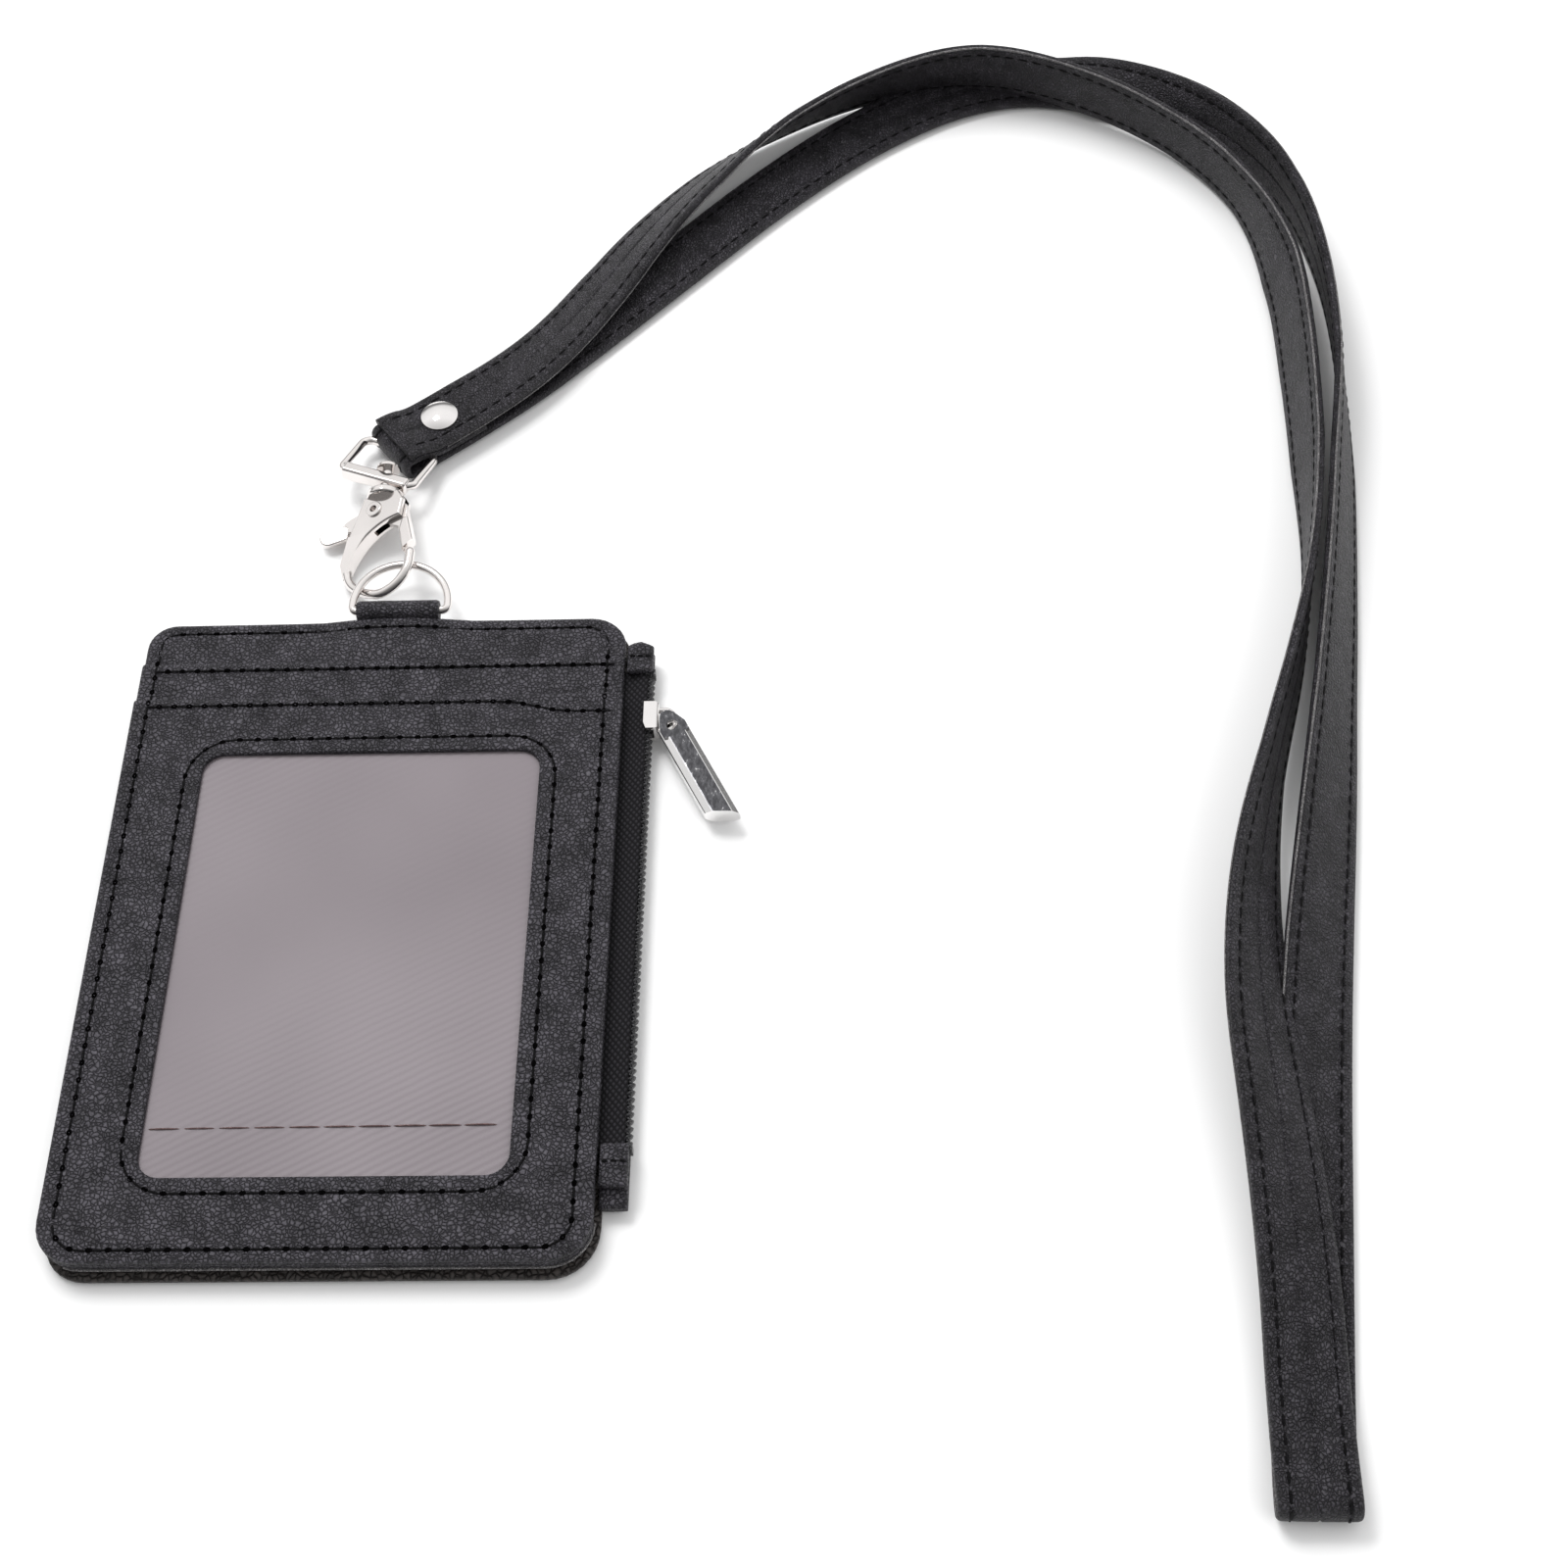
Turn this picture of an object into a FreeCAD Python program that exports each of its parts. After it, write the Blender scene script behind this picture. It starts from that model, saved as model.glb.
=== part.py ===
import FreeCAD, Part
import math, os

# Lanyard badge holder: a flat leather wallet with two front slots, a clear window and a zipped
# pocket behind, hung by a hang tab and D-ring from a swivelling trigger snap on a long neck strap.
# Millimetres. Origin: centre of the holder's back face. +X right, +Y towards the D-ring, +Z out of the front.

V = FreeCAD.Vector

# --- holder ---
HOLDER_W = 80.0
HOLDER_H = 114.0
CORNER_R = 6.5
BACK_SHIFT = 0.7            # the back panel shows past the front at the zip side
BACK_T = 1.1
LINING_T = 0.2
POCKET_GAP = 0.7            # flat zip pocket between the two linings
PANEL_T = 0.75              # front leather layers
FILM_T = 0.2
PANEL_OVERLAP = 0.5         # slot and window panels stand past the base panel on the left
SLOT_MOUTH_Y = 49.1
WINDOW_PANEL_TOP_Y = 41.2
WINDOW_LEFT, WINDOW_RIGHT = -27.2, 27.4
WINDOW_BOTTOM, WINDOW_TOP = -43.8, 30.2
WINDOW_R = 3.5
FILM_MARGIN = 2.6

Z_LINING = BACK_T
Z_POCKET = Z_LINING + LINING_T
Z_POCKET_LINING = Z_POCKET + POCKET_GAP
Z_BASE = Z_POCKET_LINING + LINING_T
Z_SLOT = Z_BASE + PANEL_T
Z_FILM = Z_SLOT + PANEL_T
Z_WINDOW = Z_FILM + FILM_T
HOLDER_T = Z_WINDOW + PANEL_T

# --- side zip ---
ZIP_X = 44.3                # centre of the closed coil
ZIP_Z = 2.35
COIL_R = 0.80
TAPE_T = 0.3
TAPE_IN_X = 33.0
ZIP_BOTTOM_Y, ZIP_TOP_Y = -38.6, 45.4
END_TAB_X0, END_TAB_X1 = 40.75, 44.6
END_TAB_BOTTOM, END_TAB_TOP = -48.0, 51.6
STOP_L = 1.0
SLIDER_Y = 36.75
SLIDER_L = 5.2
SLIDER_WALL_IN, SLIDER_WALL_OUT = 45.25, 46.05
SLIDER_IN_X = 43.6
SLIDER_Z0, SLIDER_Z1 = 0.5, 4.3
SLIDER_FLANGE = 0.75
BAIL_OUT = 2.9              # how far the bail stands off the slider
BAIL_WIRE = 0.5
PULL_LEAN = -63.0           # direction of the pull in the XY plane, degrees from +X
PULL_PIN_R = 0.55
PULL_HALF_W = 2.5
PULL_HALF_T = 1.6
PULL_EYE_T = 0.7
PULL_STEM_X, PULL_END_X = 3.0, 20.8
PULL_SLANT = 28.0

# --- hang tab and D-ring ---
RING_X, RING_Y, RING_Z = 1.55, 59.2, 3.6
RING_HALF_W = 8.05
RING_LEG = 0.5
RING_WIRE = 0.70
RING_TILT = 2.0
RING_CORNER = 0.95
TAB_W = 13.8
TAB_X = 1.4
TAB_T = 1.0
TAB_TAIL_Y = 47.5

# --- trigger snap, in its own frame: x across, y towards the swivel, z out of its face ---
CLASP_X, CLASP_Y, CLASP_Z = -3.6, 63.0, 2.8
CLASP_ROLL = 22.0           # right side up
CLASP_PITCH = 4.0           # swivel end up
SWIVEL_X = 0.6
HOOK_R = 0.82
HOOK_LINE = [(-4.6, 13.0), (-6.0, 7.4), (-5.1, 3.6), (-2.2, 1.1), (1.7, -0.2), (4.9, 1.3), (6.7, 4.0), (6.85, 7.1)]
PLATE_HALF_T = 1.5
SLOT_HALF_T = 0.6
GATE_HALF_T = 0.5
GATE_BAR_HALF_T = 0.9
GATE_REACH = 11.0           # its end swings just inside the hook's tip, clear of the ring
PIN_X, PIN_Y = -0.4, 17.0
PIN_R = 1.05
PIN_BORE_R = 0.65
PIN_HEAD_R = 1.5
RUNNING_GAP = 0.06
COLLAR_R = 3.2
COLLAR_Y0, COLLAR_Y1 = 19.5, 20.9
POST_R = 1.0
HEAD_R = 2.0
HEAD_Y0, HEAD_Y1 = 26.0, 26.8

# --- swivel loop: bar inside the strap's fold, base round the swivel post ---
BAR_X, BAR_Y, BAR_Z = -1.9, 96.1, 2.35
BAR_DEG = -20.0
BAR_R = 0.75
LOOP_HALF_W = 6.9
LOOP_DEPTH = 9.4
LOOP_BASE_T = 2.4
LOOP_BASE_H = 2.6

# --- neck strap ---
STRAP_T = 1.5
STRAP_END_DEG = 38.0
STRAP_END_HALF_Q = 6.6      # half width of the folded end, measured along the loop's bar
CAVITY_HALF = 1.3
CAVITY_H = 1.7
PINCH_S = 4.6               # from here the three layers lie flat on each other
RIVET_S = 8.5
FOLD_BACK_END_S = 14.6
TOP_END_S = -1.1
FLAT_END_S = 17.0
TUBE_R = 0.7
ARC_SHARE = 0.45
RIVET_HEAD_R = 3.25
RIVET_SHAFT_R = 1.4
RIVET_BASE_R = 3.0

# Upper leg from the riveted end to the far fold, then the lower leg back to the riveted end.
STRAP_ROUTE = [
    (17.5, 112.0, 3.5), (25.0, 121.5, 2.9), (32.0, 133.5, 2.4), (39.5, 146.0, 2.8),
    (50.5, 160.0, 3.6), (65.0, 172.5, 5.0), (83.0, 183.0, 5.8), (102.5, 186.0, 7.2),
    (121.5, 179.0, 6.9), (138.0, 167.5, 6.1), (150.0, 152.0, 5.9), (155.5, 132.0, 5.5),
    (155.9, 110.0, 5.3), (155.3, 88.0, 5.5), (153.8, 66.0, 5.8), (149.5, 45.5, 6.0),
    (143.0, 24.0, 6.6), (138.3, 3.0, 7.2), (136.9, -17.0, 6.6), (138.6, -38.0, 5.0),
    (139.4, -58.0, 3.4), (139.0, -74.0, 2.5), (138.8, -83.5, 3.0), (138.7, -89.0, 3.8),
    (138.7, -92.7, 4.0), (138.7, -92.7, 0.8), (138.8, -88.0, 0.75), (139.3, -80.0, 0.8),
    (140.7, -66.0, 1.1), (142.6, -48.0, 1.6), (144.7, -28.0, 2.3), (147.6, -6.0, 3.0),
    (151.2, 16.0, 4.0), (154.6, 38.0, 4.7), (158.0, 61.0, 5.0), (161.0, 85.0, 5.4),
    (163.0, 108.0, 5.7), (162.8, 130.0, 5.9), (158.8, 151.0, 5.8), (149.0, 166.5, 5.6),
    (134.5, 178.5, 4.4), (117.5, 187.0, 1.7), (99.5, 185.5, 0.9), (81.0, 175.0, 0.75),
    (63.0, 159.5, 0.75), (45.5, 141.0, 0.75), (29.5, 124.0, 0.75), (18.5, 112.6, 0.75),
]


def save(node, shape):
    solids = shape.Solids
    volume = sum(s.Volume for s in solids)
    print("%-18s solids %d volume %8.2f valid %s" % (node, len(solids), volume, shape.isValid()))
    (shape if len(solids) > 1 else solids[0]).exportStep("parts/%s.step" % node)


def box(x0, x1, y0, y1, z0, z1):
    return Part.makeBox(x1 - x0, y1 - y0, z1 - z0, V(x0, y0, z0))


def cylinder(radius, start, end):
    way = end - start
    return Part.makeCylinder(radius, way.Length, start, way)


def rounded_outline(x0, x1, y0, y1, r, z):
    """A rectangle with round corners, as a wire at height z."""
    mid = r * (1 - math.sqrt(0.5))
    edges = [
        Part.LineSegment(V(x0 + r, y0, z), V(x1 - r, y0, z)).toShape(),
        Part.Arc(V(x1 - r, y0, z), V(x1 - mid, y0 + mid, z), V(x1, y0 + r, z)).toShape(),
        Part.LineSegment(V(x1, y0 + r, z), V(x1, y1 - r, z)).toShape(),
        Part.Arc(V(x1, y1 - r, z), V(x1 - mid, y1 - mid, z), V(x1 - r, y1, z)).toShape(),
        Part.LineSegment(V(x1 - r, y1, z), V(x0 + r, y1, z)).toShape(),
        Part.Arc(V(x0 + r, y1, z), V(x0 + mid, y1 - mid, z), V(x0, y1 - r, z)).toShape(),
        Part.LineSegment(V(x0, y1 - r, z), V(x0, y0 + r, z)).toShape(),
        Part.Arc(V(x0, y0 + r, z), V(x0 + mid, y0 + mid, z), V(x0 + r, y0, z)).toShape(),
    ]
    return Part.Wire(edges)


def rounded_plate(x0, x1, y0, y1, r, z0, z1):
    return Part.Face(rounded_outline(x0, x1, y0, y1, r, z0)).extrude(V(0, 0, z1 - z0))


def polygon_plate(points, z0, z1):
    corners = [V(x, y, z0) for x, y in points]
    return Part.Face(Part.makePolygon(corners + corners[:1])).extrude(V(0, 0, z1 - z0))


def softened(shape, radius, keep):
    """Fillets the edges that keep() picks."""
    return shape.makeFillet(radius, [e for e in shape.Edges if keep(e)])


def swept(wire, radius, closed=False):
    """A round bar along a wire of lines and tangent arcs."""
    first = wire.OrderedEdges[0]
    start = first.valueAt(first.FirstParameter)
    way = first.tangentAt(first.FirstParameter)
    if first.Orientation == "Reversed":
        start = first.valueAt(first.LastParameter)
        way = first.tangentAt(first.LastParameter).multiply(-1)
    ring = Part.Wire([Part.Circle(start, way, radius).toShape()])
    if closed:
        return Part.Solid(wire.makePipeShell([ring], False, False).Shells[0])
    return wire.makePipeShell([ring], True, False)


def route_wire(points, share=ARC_SHARE):
    """Straight runs joined by tangent arcs, each as large as its two runs allow. Returns wire, radii, length."""
    p = [V(*q) for q in points]
    edges, radii, start = [], [], p[0]
    for before, corner, after in zip(p, p[1:], p[2:]):
        back, ahead = before - corner, after - corner
        trim = share * min(back.Length, ahead.Length)
        back.normalize()
        ahead.normalize()
        half = (math.pi - back.getAngle(ahead)) / 2
        radius = trim / math.tan(half)
        enter, leave = corner + back * trim, corner + ahead * trim
        inward = back + ahead
        inward.normalize()
        middle = corner + inward * (radius / math.cos(half) - radius)
        edges.append(Part.LineSegment(start, enter).toShape())
        edges.append(Part.Arc(enter, middle, leave).toShape())
        radii.append(radius)
        start = leave
    edges.append(Part.LineSegment(start, p[-1]).toShape())
    wire = Part.Wire(edges)
    return wire, radii, wire.Length


# ---------------------------------------------------------------- holder
def holder_layer(z0, z1, top, left_extra=0.0):
    """One front layer: the whole outline below the line y = top."""
    half_w, half_h = HOLDER_W / 2, HOLDER_H / 2
    plate = rounded_plate(-half_w - left_extra, half_w, -half_h, half_h, CORNER_R, z0, z1)
    if top < half_h:
        plate = plate.common(box(-60, 60, -half_h - 1, top, z0 - 1, z1 + 1))
    return plate


def holder_parts():
    half_w, half_h = HOLDER_W / 2, HOLDER_H / 2
    back = rounded_plate(-half_w + 0.2, half_w + BACK_SHIFT, -half_h - 0.2, half_h - 0.2, CORNER_R, 0, BACK_T)
    save("back_panel", back)
    inset = 1.0
    lining = rounded_plate(-half_w + inset, half_w - inset, -half_h + inset, half_h - inset,
                           CORNER_R - inset, Z_LINING, Z_POCKET)
    save("back_lining", lining)
    pocket_lining = lining.copy()
    pocket_lining.translate(V(0, 0, Z_POCKET_LINING - Z_LINING))
    save("pocket_lining", pocket_lining)
    save("base_panel", holder_layer(Z_BASE, Z_SLOT, half_h))
    save("slot_panel", holder_layer(Z_SLOT, Z_FILM, SLOT_MOUTH_Y, PANEL_OVERLAP))
    film = rounded_plate(WINDOW_LEFT - FILM_MARGIN, WINDOW_RIGHT + FILM_MARGIN, WINDOW_BOTTOM - FILM_MARGIN,
                         WINDOW_TOP + FILM_MARGIN, WINDOW_R, Z_FILM, Z_WINDOW)
    save("window_film", film)
    panel = holder_layer(Z_WINDOW, HOLDER_T, WINDOW_PANEL_TOP_Y, PANEL_OVERLAP)
    rim = holder_layer(Z_FILM, Z_WINDOW, WINDOW_PANEL_TOP_Y, PANEL_OVERLAP).cut(film)
    opening = rounded_plate(WINDOW_LEFT, WINDOW_RIGHT, WINDOW_BOTTOM, WINDOW_TOP, WINDOW_R, Z_WINDOW - 1, HOLDER_T + 1)
    save("window_panel", panel.fuse(rim).removeSplitter().cut(opening))


def hang_tab():
    """A leather strip folded round the ring's bar, its tails sewn in between the two linings."""
    x0, x1 = TAB_X - TAB_W / 2, TAB_X + TAB_W / 2
    outer = RING_WIRE + RUNNING_GAP + TAB_T
    fold = cylinder(outer, V(x0, RING_Y, RING_Z), V(x1, RING_Y, RING_Z))
    neck_y = HOLDER_H / 2 + 0.15
    neck = box(x0, x1, neck_y, RING_Y, Z_POCKET + 0.05, RING_Z)
    tail = box(x0, x1, TAB_TAIL_Y, neck_y + 0.1, Z_POCKET + 0.05, Z_POCKET_LINING - 0.02)
    eye = cylinder(RING_WIRE + RUNNING_GAP, V(x0 - 1, RING_Y, RING_Z), V(x1 + 1, RING_Y, RING_Z))
    clear_front = box(x0 - 1, x1 + 1, 50, neck_y, Z_POCKET_LINING - 0.02, 9)
    save("hang_tab", fold.fuse(neck).cut(clear_front).fuse(tail).removeSplitter().cut(eye))


def d_ring():
    """A half-round ring closed by a straight bar, tilted about the bar."""
    w, leg, c = RING_HALF_W, RING_LEG, RING_CORNER
    mid = c * (1 - math.sqrt(0.5))
    edges = [
        Part.LineSegment(V(-w + c, 0, 0), V(w - c, 0, 0)).toShape(),
        Part.Arc(V(w - c, 0, 0), V(w - mid, mid, 0), V(w, c, 0)).toShape(),
        Part.LineSegment(V(w, c, 0), V(w, c + leg, 0)).toShape(),
        Part.Arc(V(w, c + leg, 0), V(0, c + leg + w, 0), V(-w, c + leg, 0)).toShape(),
        Part.LineSegment(V(-w, c + leg, 0), V(-w, c, 0)).toShape(),
        Part.Arc(V(-w, c, 0), V(-w + mid, mid, 0), V(-w + c, 0, 0)).toShape(),
    ]
    ring = swept(Part.Wire(edges), RING_WIRE, closed=True)
    ring.rotate(V(0, 0, 0), V(1, 0, 0), RING_TILT)
    ring.translate(V(RING_X, RING_Y, RING_Z))
    save("d_ring", ring)


# ---------------------------------------------------------------- zip
def zip_tape(node, z0):
    """A woven tape along the pocket's mouth, as far as the coil."""
    flat = box(TAPE_IN_X, ZIP_X - COIL_R, ZIP_BOTTOM_Y, ZIP_TOP_Y, z0, z0 + TAPE_T)
    save(node, flat)


def zip_parts():
    zip_tape("zip_tape_back", Z_POCKET + 0.03)
    zip_tape("zip_tape_front", Z_POCKET_LINING - 0.03 - TAPE_T)
    coil = cylinder(COIL_R, V(ZIP_X, ZIP_BOTTOM_Y, ZIP_Z), V(ZIP_X, ZIP_TOP_Y, ZIP_Z))
    save("zip_coil", coil)
    for node, y0 in (("zip_bottom_stop", ZIP_BOTTOM_Y - STOP_L), ("zip_top_stop", ZIP_TOP_Y)):
        stop = box(ZIP_X - COIL_R, ZIP_X + COIL_R, y0, y0 + STOP_L, ZIP_Z - 1.0, ZIP_Z + 1.0)
        save(node, stop)
    for node, y0, y1 in (("zip_end_bottom", END_TAB_BOTTOM, ZIP_BOTTOM_Y - STOP_L),
                         ("zip_end_top", ZIP_TOP_Y + STOP_L, END_TAB_TOP)):
        tab = box(END_TAB_X0, END_TAB_X1, y0, y1, 0.5, 4.3)
        tab = softened(tab, 1.2, lambda e: e.Length > y1 - y0 - 0.1 and e.CenterOfMass.x > END_TAB_X1 - 0.1)
        save(node, tab)


def slider():
    """A channel that rides round the coil, open towards the pocket, with a bail on its outer wall."""
    y0, y1 = SLIDER_Y - SLIDER_L / 2, SLIDER_Y + SLIDER_L / 2
    block = box(SLIDER_IN_X, SLIDER_WALL_OUT, y0, y1, SLIDER_Z0, SLIDER_Z1)
    block = softened(block, 0.7, lambda e: e.CenterOfMass.x > SLIDER_WALL_OUT - 0.01)
    inner = box(SLIDER_IN_X - 1, SLIDER_WALL_IN, y0 - 1, y1 + 1, SLIDER_Z0 + SLIDER_FLANGE, SLIDER_Z1 - SLIDER_FLANGE)
    taper = polygon_plate([(SLIDER_IN_X - 1, y0 - 1), (SLIDER_IN_X + 0.8, y0 - 1), (SLIDER_IN_X - 0.01, y0 + 1.2),
                           (SLIDER_IN_X - 1, y0 + 1.2)], -1, 7)
    save("zip_slider", block.cut(inner).cut(taper))
    z = (SLIDER_Z0 + SLIDER_Z1) / 2
    x0, x1 = SLIDER_WALL_OUT, SLIDER_WALL_OUT + BAIL_OUT
    points = [(x0 - 0.3, y1 - 0.6, z), (x0 + 1.5, y1 - 0.6, z), (x1 - BAIL_WIRE, SLIDER_Y + 1.0, z),
              (x1 - BAIL_WIRE, SLIDER_Y - 1.0, z), (x0 + 1.5, y0 + 0.6, z), (x0 - 0.3, y0 + 0.6, z)]
    wire = route_wire(points)[0]
    bail = swept(wire, BAIL_WIRE).cut(block)
    save("zip_bail", bail)


def pull_pivot():
    x = SLIDER_WALL_OUT + BAIL_OUT - 2 * BAIL_WIRE - PULL_PIN_R - RUNNING_GAP
    return V(x, SLIDER_Y, (SLIDER_Z0 + SLIDER_Z1) / 2)


def zip_pull():
    """A faceted bar whose forked eye holds the bail. Local +X runs from the pivot to the free end."""
    w, t = PULL_HALF_W, PULL_HALF_T
    section = [(-w, -0.8), (-w + 1.1, -t), (w - 1.1, -t), (w, -0.8), (w, 0.8), (w - 1.1, t), (-w + 1.1, t), (-w, 0.8)]
    corners = [V(0, y, z) for y, z in section]
    bar = Part.Face(Part.makePolygon(corners + corners[:1])).extrude(V(PULL_END_X + 3, 0, 0))
    bar = softened(bar, 0.45, lambda e: e.Length > PULL_END_X)
    slant = Part.makeBox(20, 30, 12, V(0, -15, -6))
    slant.rotate(V(0, 0, 0), V(0, 0, 1), -PULL_SLANT)
    slant.translate(V(PULL_END_X, 0, 0))
    round_seat = cylinder(PULL_STEM_X, V(0, 0, -5), V(0, 0, 5))
    stem = bar.cut(slant).cut(round_seat).cut(box(-9, 0, -9, 9, -9, 9))
    outline = [(-0.9, -0.7), (-0.9, 0.7), (0.0, 1.3), (2.2, w - 0.3), (4.0, w - 0.3), (4.0, -w + 0.3), (2.2, -w + 0.3), (0.0, -1.3)]
    eye = polygon_plate(outline, t - PULL_EYE_T, t)
    eye = softened(eye, 0.4, lambda e: abs(e.tangentAt(e.FirstParameter).z) > 0.9 and e.CenterOfMass.x < 3.0)
    eye = eye.cut(cylinder(0.95, V(2.2, 0, 0), V(2.2, 0, 5)))
    under = eye.mirror(V(0, 0, 0), V(0, 0, 1))
    pin = cylinder(PULL_PIN_R, V(0, 0, -t + 0.1), V(0, 0, t - 0.1))
    pull = stem.fuse([eye, under, pin]).removeSplitter()
    pull.rotate(V(0, 0, 0), V(0, 0, 1), PULL_LEAN)
    pull.translate(pull_pivot())
    save("zip_pull", pull)


# ---------------------------------------------------------------- trigger snap
def to_clasp(shape):
    """From the snap's own frame to the row frame."""
    shape.rotate(V(0, 0, 0), V(0, 1, 0), -CLASP_ROLL)
    shape.rotate(V(0, 0, 0), V(1, 0, 0), CLASP_PITCH)
    shape.translate(V(CLASP_X, CLASP_Y, CLASP_Z))
    return shape


def clasp_point(x, y, z):
    probe = to_clasp(Part.Vertex(V(x, y, z)))
    return probe.Point


def clasp_hook():
    """Hook, two cheeks with the gate's slot between them, and the collar, all one casting."""
    points = [(x, y, 0.0) for x, y in HOOK_LINE]
    hook = swept(route_wire(points)[0], HOOK_R).fuse(Part.makeSphere(HOOK_R, V(*points[-1])))
    corners = [V(-6.65, 7.4, 0), V(-5.5, 11.6, 0), V(-2.8, 20.1, 0), V(3.9, 20.1, 0), V(5.2, 18.0, 0), V(4.8, 14.8, 0)]
    edges = [Part.LineSegment(a, b).toShape() for a, b in zip(corners, corners[1:])]
    edges.append(Part.Arc(corners[-1], V(-1.9, 11.7, 0), V(-5.1, 5.2, 0)).toShape())
    edges.append(Part.LineSegment(V(-5.1, 5.2, 0), V(-5.9, 4.4, 0)).toShape())
    edges.append(Part.LineSegment(V(-5.9, 4.4, 0), corners[0]).toShape())
    plate = Part.Face(Part.Wire(edges)).extrude(V(0, 0, 2 * PLATE_HALF_T))
    plate.translate(V(0, 0, -PLATE_HALF_T))
    thin = Part.makeBox(20, 20, 6, V(-10, -20, 0))
    thin.rotate(V(0, 0, 0), V(1, 0, 0), 6)
    thin.translate(V(0, 12.5, PLATE_HALF_T))
    plate = plate.cut(thin).cut(thin.mirror(V(0, 0, 0), V(0, 0, 1)))
    plate = softened(plate, 0.4, lambda e: abs(abs(e.CenterOfMass.z) - PLATE_HALF_T) < 0.01)
    slot = box(-9, 9, 13.3, 19.2, -SLOT_HALF_T, SLOT_HALF_T)
    side = box(-0.6, 9, 9, 14.5, -SLOT_HALF_T, SLOT_HALF_T)
    collar = cylinder(COLLAR_R, V(SWIVEL_X, COLLAR_Y0, 0), V(SWIVEL_X, COLLAR_Y1, 0))
    collar = softened(collar, 0.45, lambda e: True)
    bore = cylinder(POST_R, V(SWIVEL_X, COLLAR_Y0 - 0.2, 0), V(SWIVEL_X, COLLAR_Y1 + 1, 0))
    pin_hole = cylinder(PIN_R, V(PIN_X, PIN_Y, -3), V(PIN_X, PIN_Y, 3))
    body = plate.cut(slot).cut(side).fuse([hook, collar]).cut(bore).cut(pin_hole)
    save("clasp_hook", to_clasp(body))


def clasp_gate():
    """Gate arm that closes the hook, hub round the pin, and the thumb tab on the other side."""
    h = GATE_HALF_T
    hub = cylinder(2.0, V(PIN_X, PIN_Y, -h), V(PIN_X, PIN_Y, h))
    arm = polygon_plate([(PIN_X, PIN_Y + 1.9), (3.2, 18.7), (5.2, 17.4), (8.2, 6.5), (5.9, 5.8), (4.2, 13.0),
                         (PIN_X, PIN_Y - 1.9)], -h, h)
    bar = polygon_plate([(4.95, 14.3), (6.05, 14.3), (8.2, 6.5), (5.9, 5.8), (4.5, 12.0)],
                        -GATE_BAR_HALF_T, GATE_BAR_HALF_T)
    bar = softened(bar, 0.4, lambda e: abs(abs(e.CenterOfMass.z) - GATE_BAR_HALF_T) < 0.01)
    lever = polygon_plate([(PIN_X, PIN_Y + 1.5), (-5.8, 17.0), (-7.0, 16.4), (-7.0, 14.6), (-5.4, 14.4),
                           (PIN_X, PIN_Y - 1.8)], -h, h)
    thumb = rounded_plate(-11.8, -6.2, 13.2, 16.3, 1.5, -0.6, 0.6)
    thumb = softened(thumb, 0.3, lambda e: abs(abs(e.CenterOfMass.z) - 0.6) < 0.01)
    thumb.rotate(V(-6.6, 15.6, 0), V(0, 0, 1), 22)
    thumb = thumb.cut(box(-6.4, 0, 9, 14.4, -2, 2))
    thumb.rotate(V(-6.6, 0, 0), V(0, 1, 0), CLASP_ROLL)
    swing = cylinder(GATE_REACH, V(PIN_X, PIN_Y, -9), V(PIN_X, PIN_Y, 9))
    gate = hub.fuse([arm, bar, lever, thumb]).common(swing)
    recess = cylinder(1.72, V(PIN_X, PIN_Y, 0.05), V(PIN_X, PIN_Y, 3))
    hole = cylinder(PIN_R + RUNNING_GAP, V(PIN_X, PIN_Y, -3), V(PIN_X, PIN_Y, 3))
    save("clasp_gate", to_clasp(gate.cut(recess).cut(hole)))
    spring = cylinder(1.65, V(PIN_X, PIN_Y, 0.1), V(PIN_X, PIN_Y, 0.46))
    spring = spring.cut(cylinder(1.25, V(PIN_X, PIN_Y, 0), V(PIN_X, PIN_Y, 1)))
    save("gate_spring", to_clasp(spring))


def gate_pin():
    """Hollow rivet through both cheeks."""
    t = PLATE_HALF_T
    pin = cylinder(PIN_R, V(PIN_X, PIN_Y, -t), V(PIN_X, PIN_Y, t))
    heads = []
    for z0, z1 in ((-t - 0.35, -t), (t, t + 0.35)):
        head = cylinder(PIN_HEAD_R, V(PIN_X, PIN_Y, z0), V(PIN_X, PIN_Y, z1))
        heads.append(softened(head, 0.2, lambda e: abs(e.CenterOfMass.z) > t + 0.3))
    bore = cylinder(PIN_BORE_R, V(PIN_X, PIN_Y, -5), V(PIN_X, PIN_Y, 5))
    save("gate_pin", to_clasp(pin.fuse(heads).cut(bore)))


def swivel_post():
    shank = cylinder(POST_R, V(SWIVEL_X, COLLAR_Y0 - 0.2, 0), V(SWIVEL_X, HEAD_Y1 - 0.2, 0))
    head = cylinder(HEAD_R, V(SWIVEL_X, HEAD_Y0, 0), V(SWIVEL_X, HEAD_Y1, 0))
    head = softened(head, 0.4, lambda e: e.CenterOfMass.y > HEAD_Y1 - 0.01)
    save("swivel_post", to_clasp(shank.fuse(head).removeSplitter()))


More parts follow.
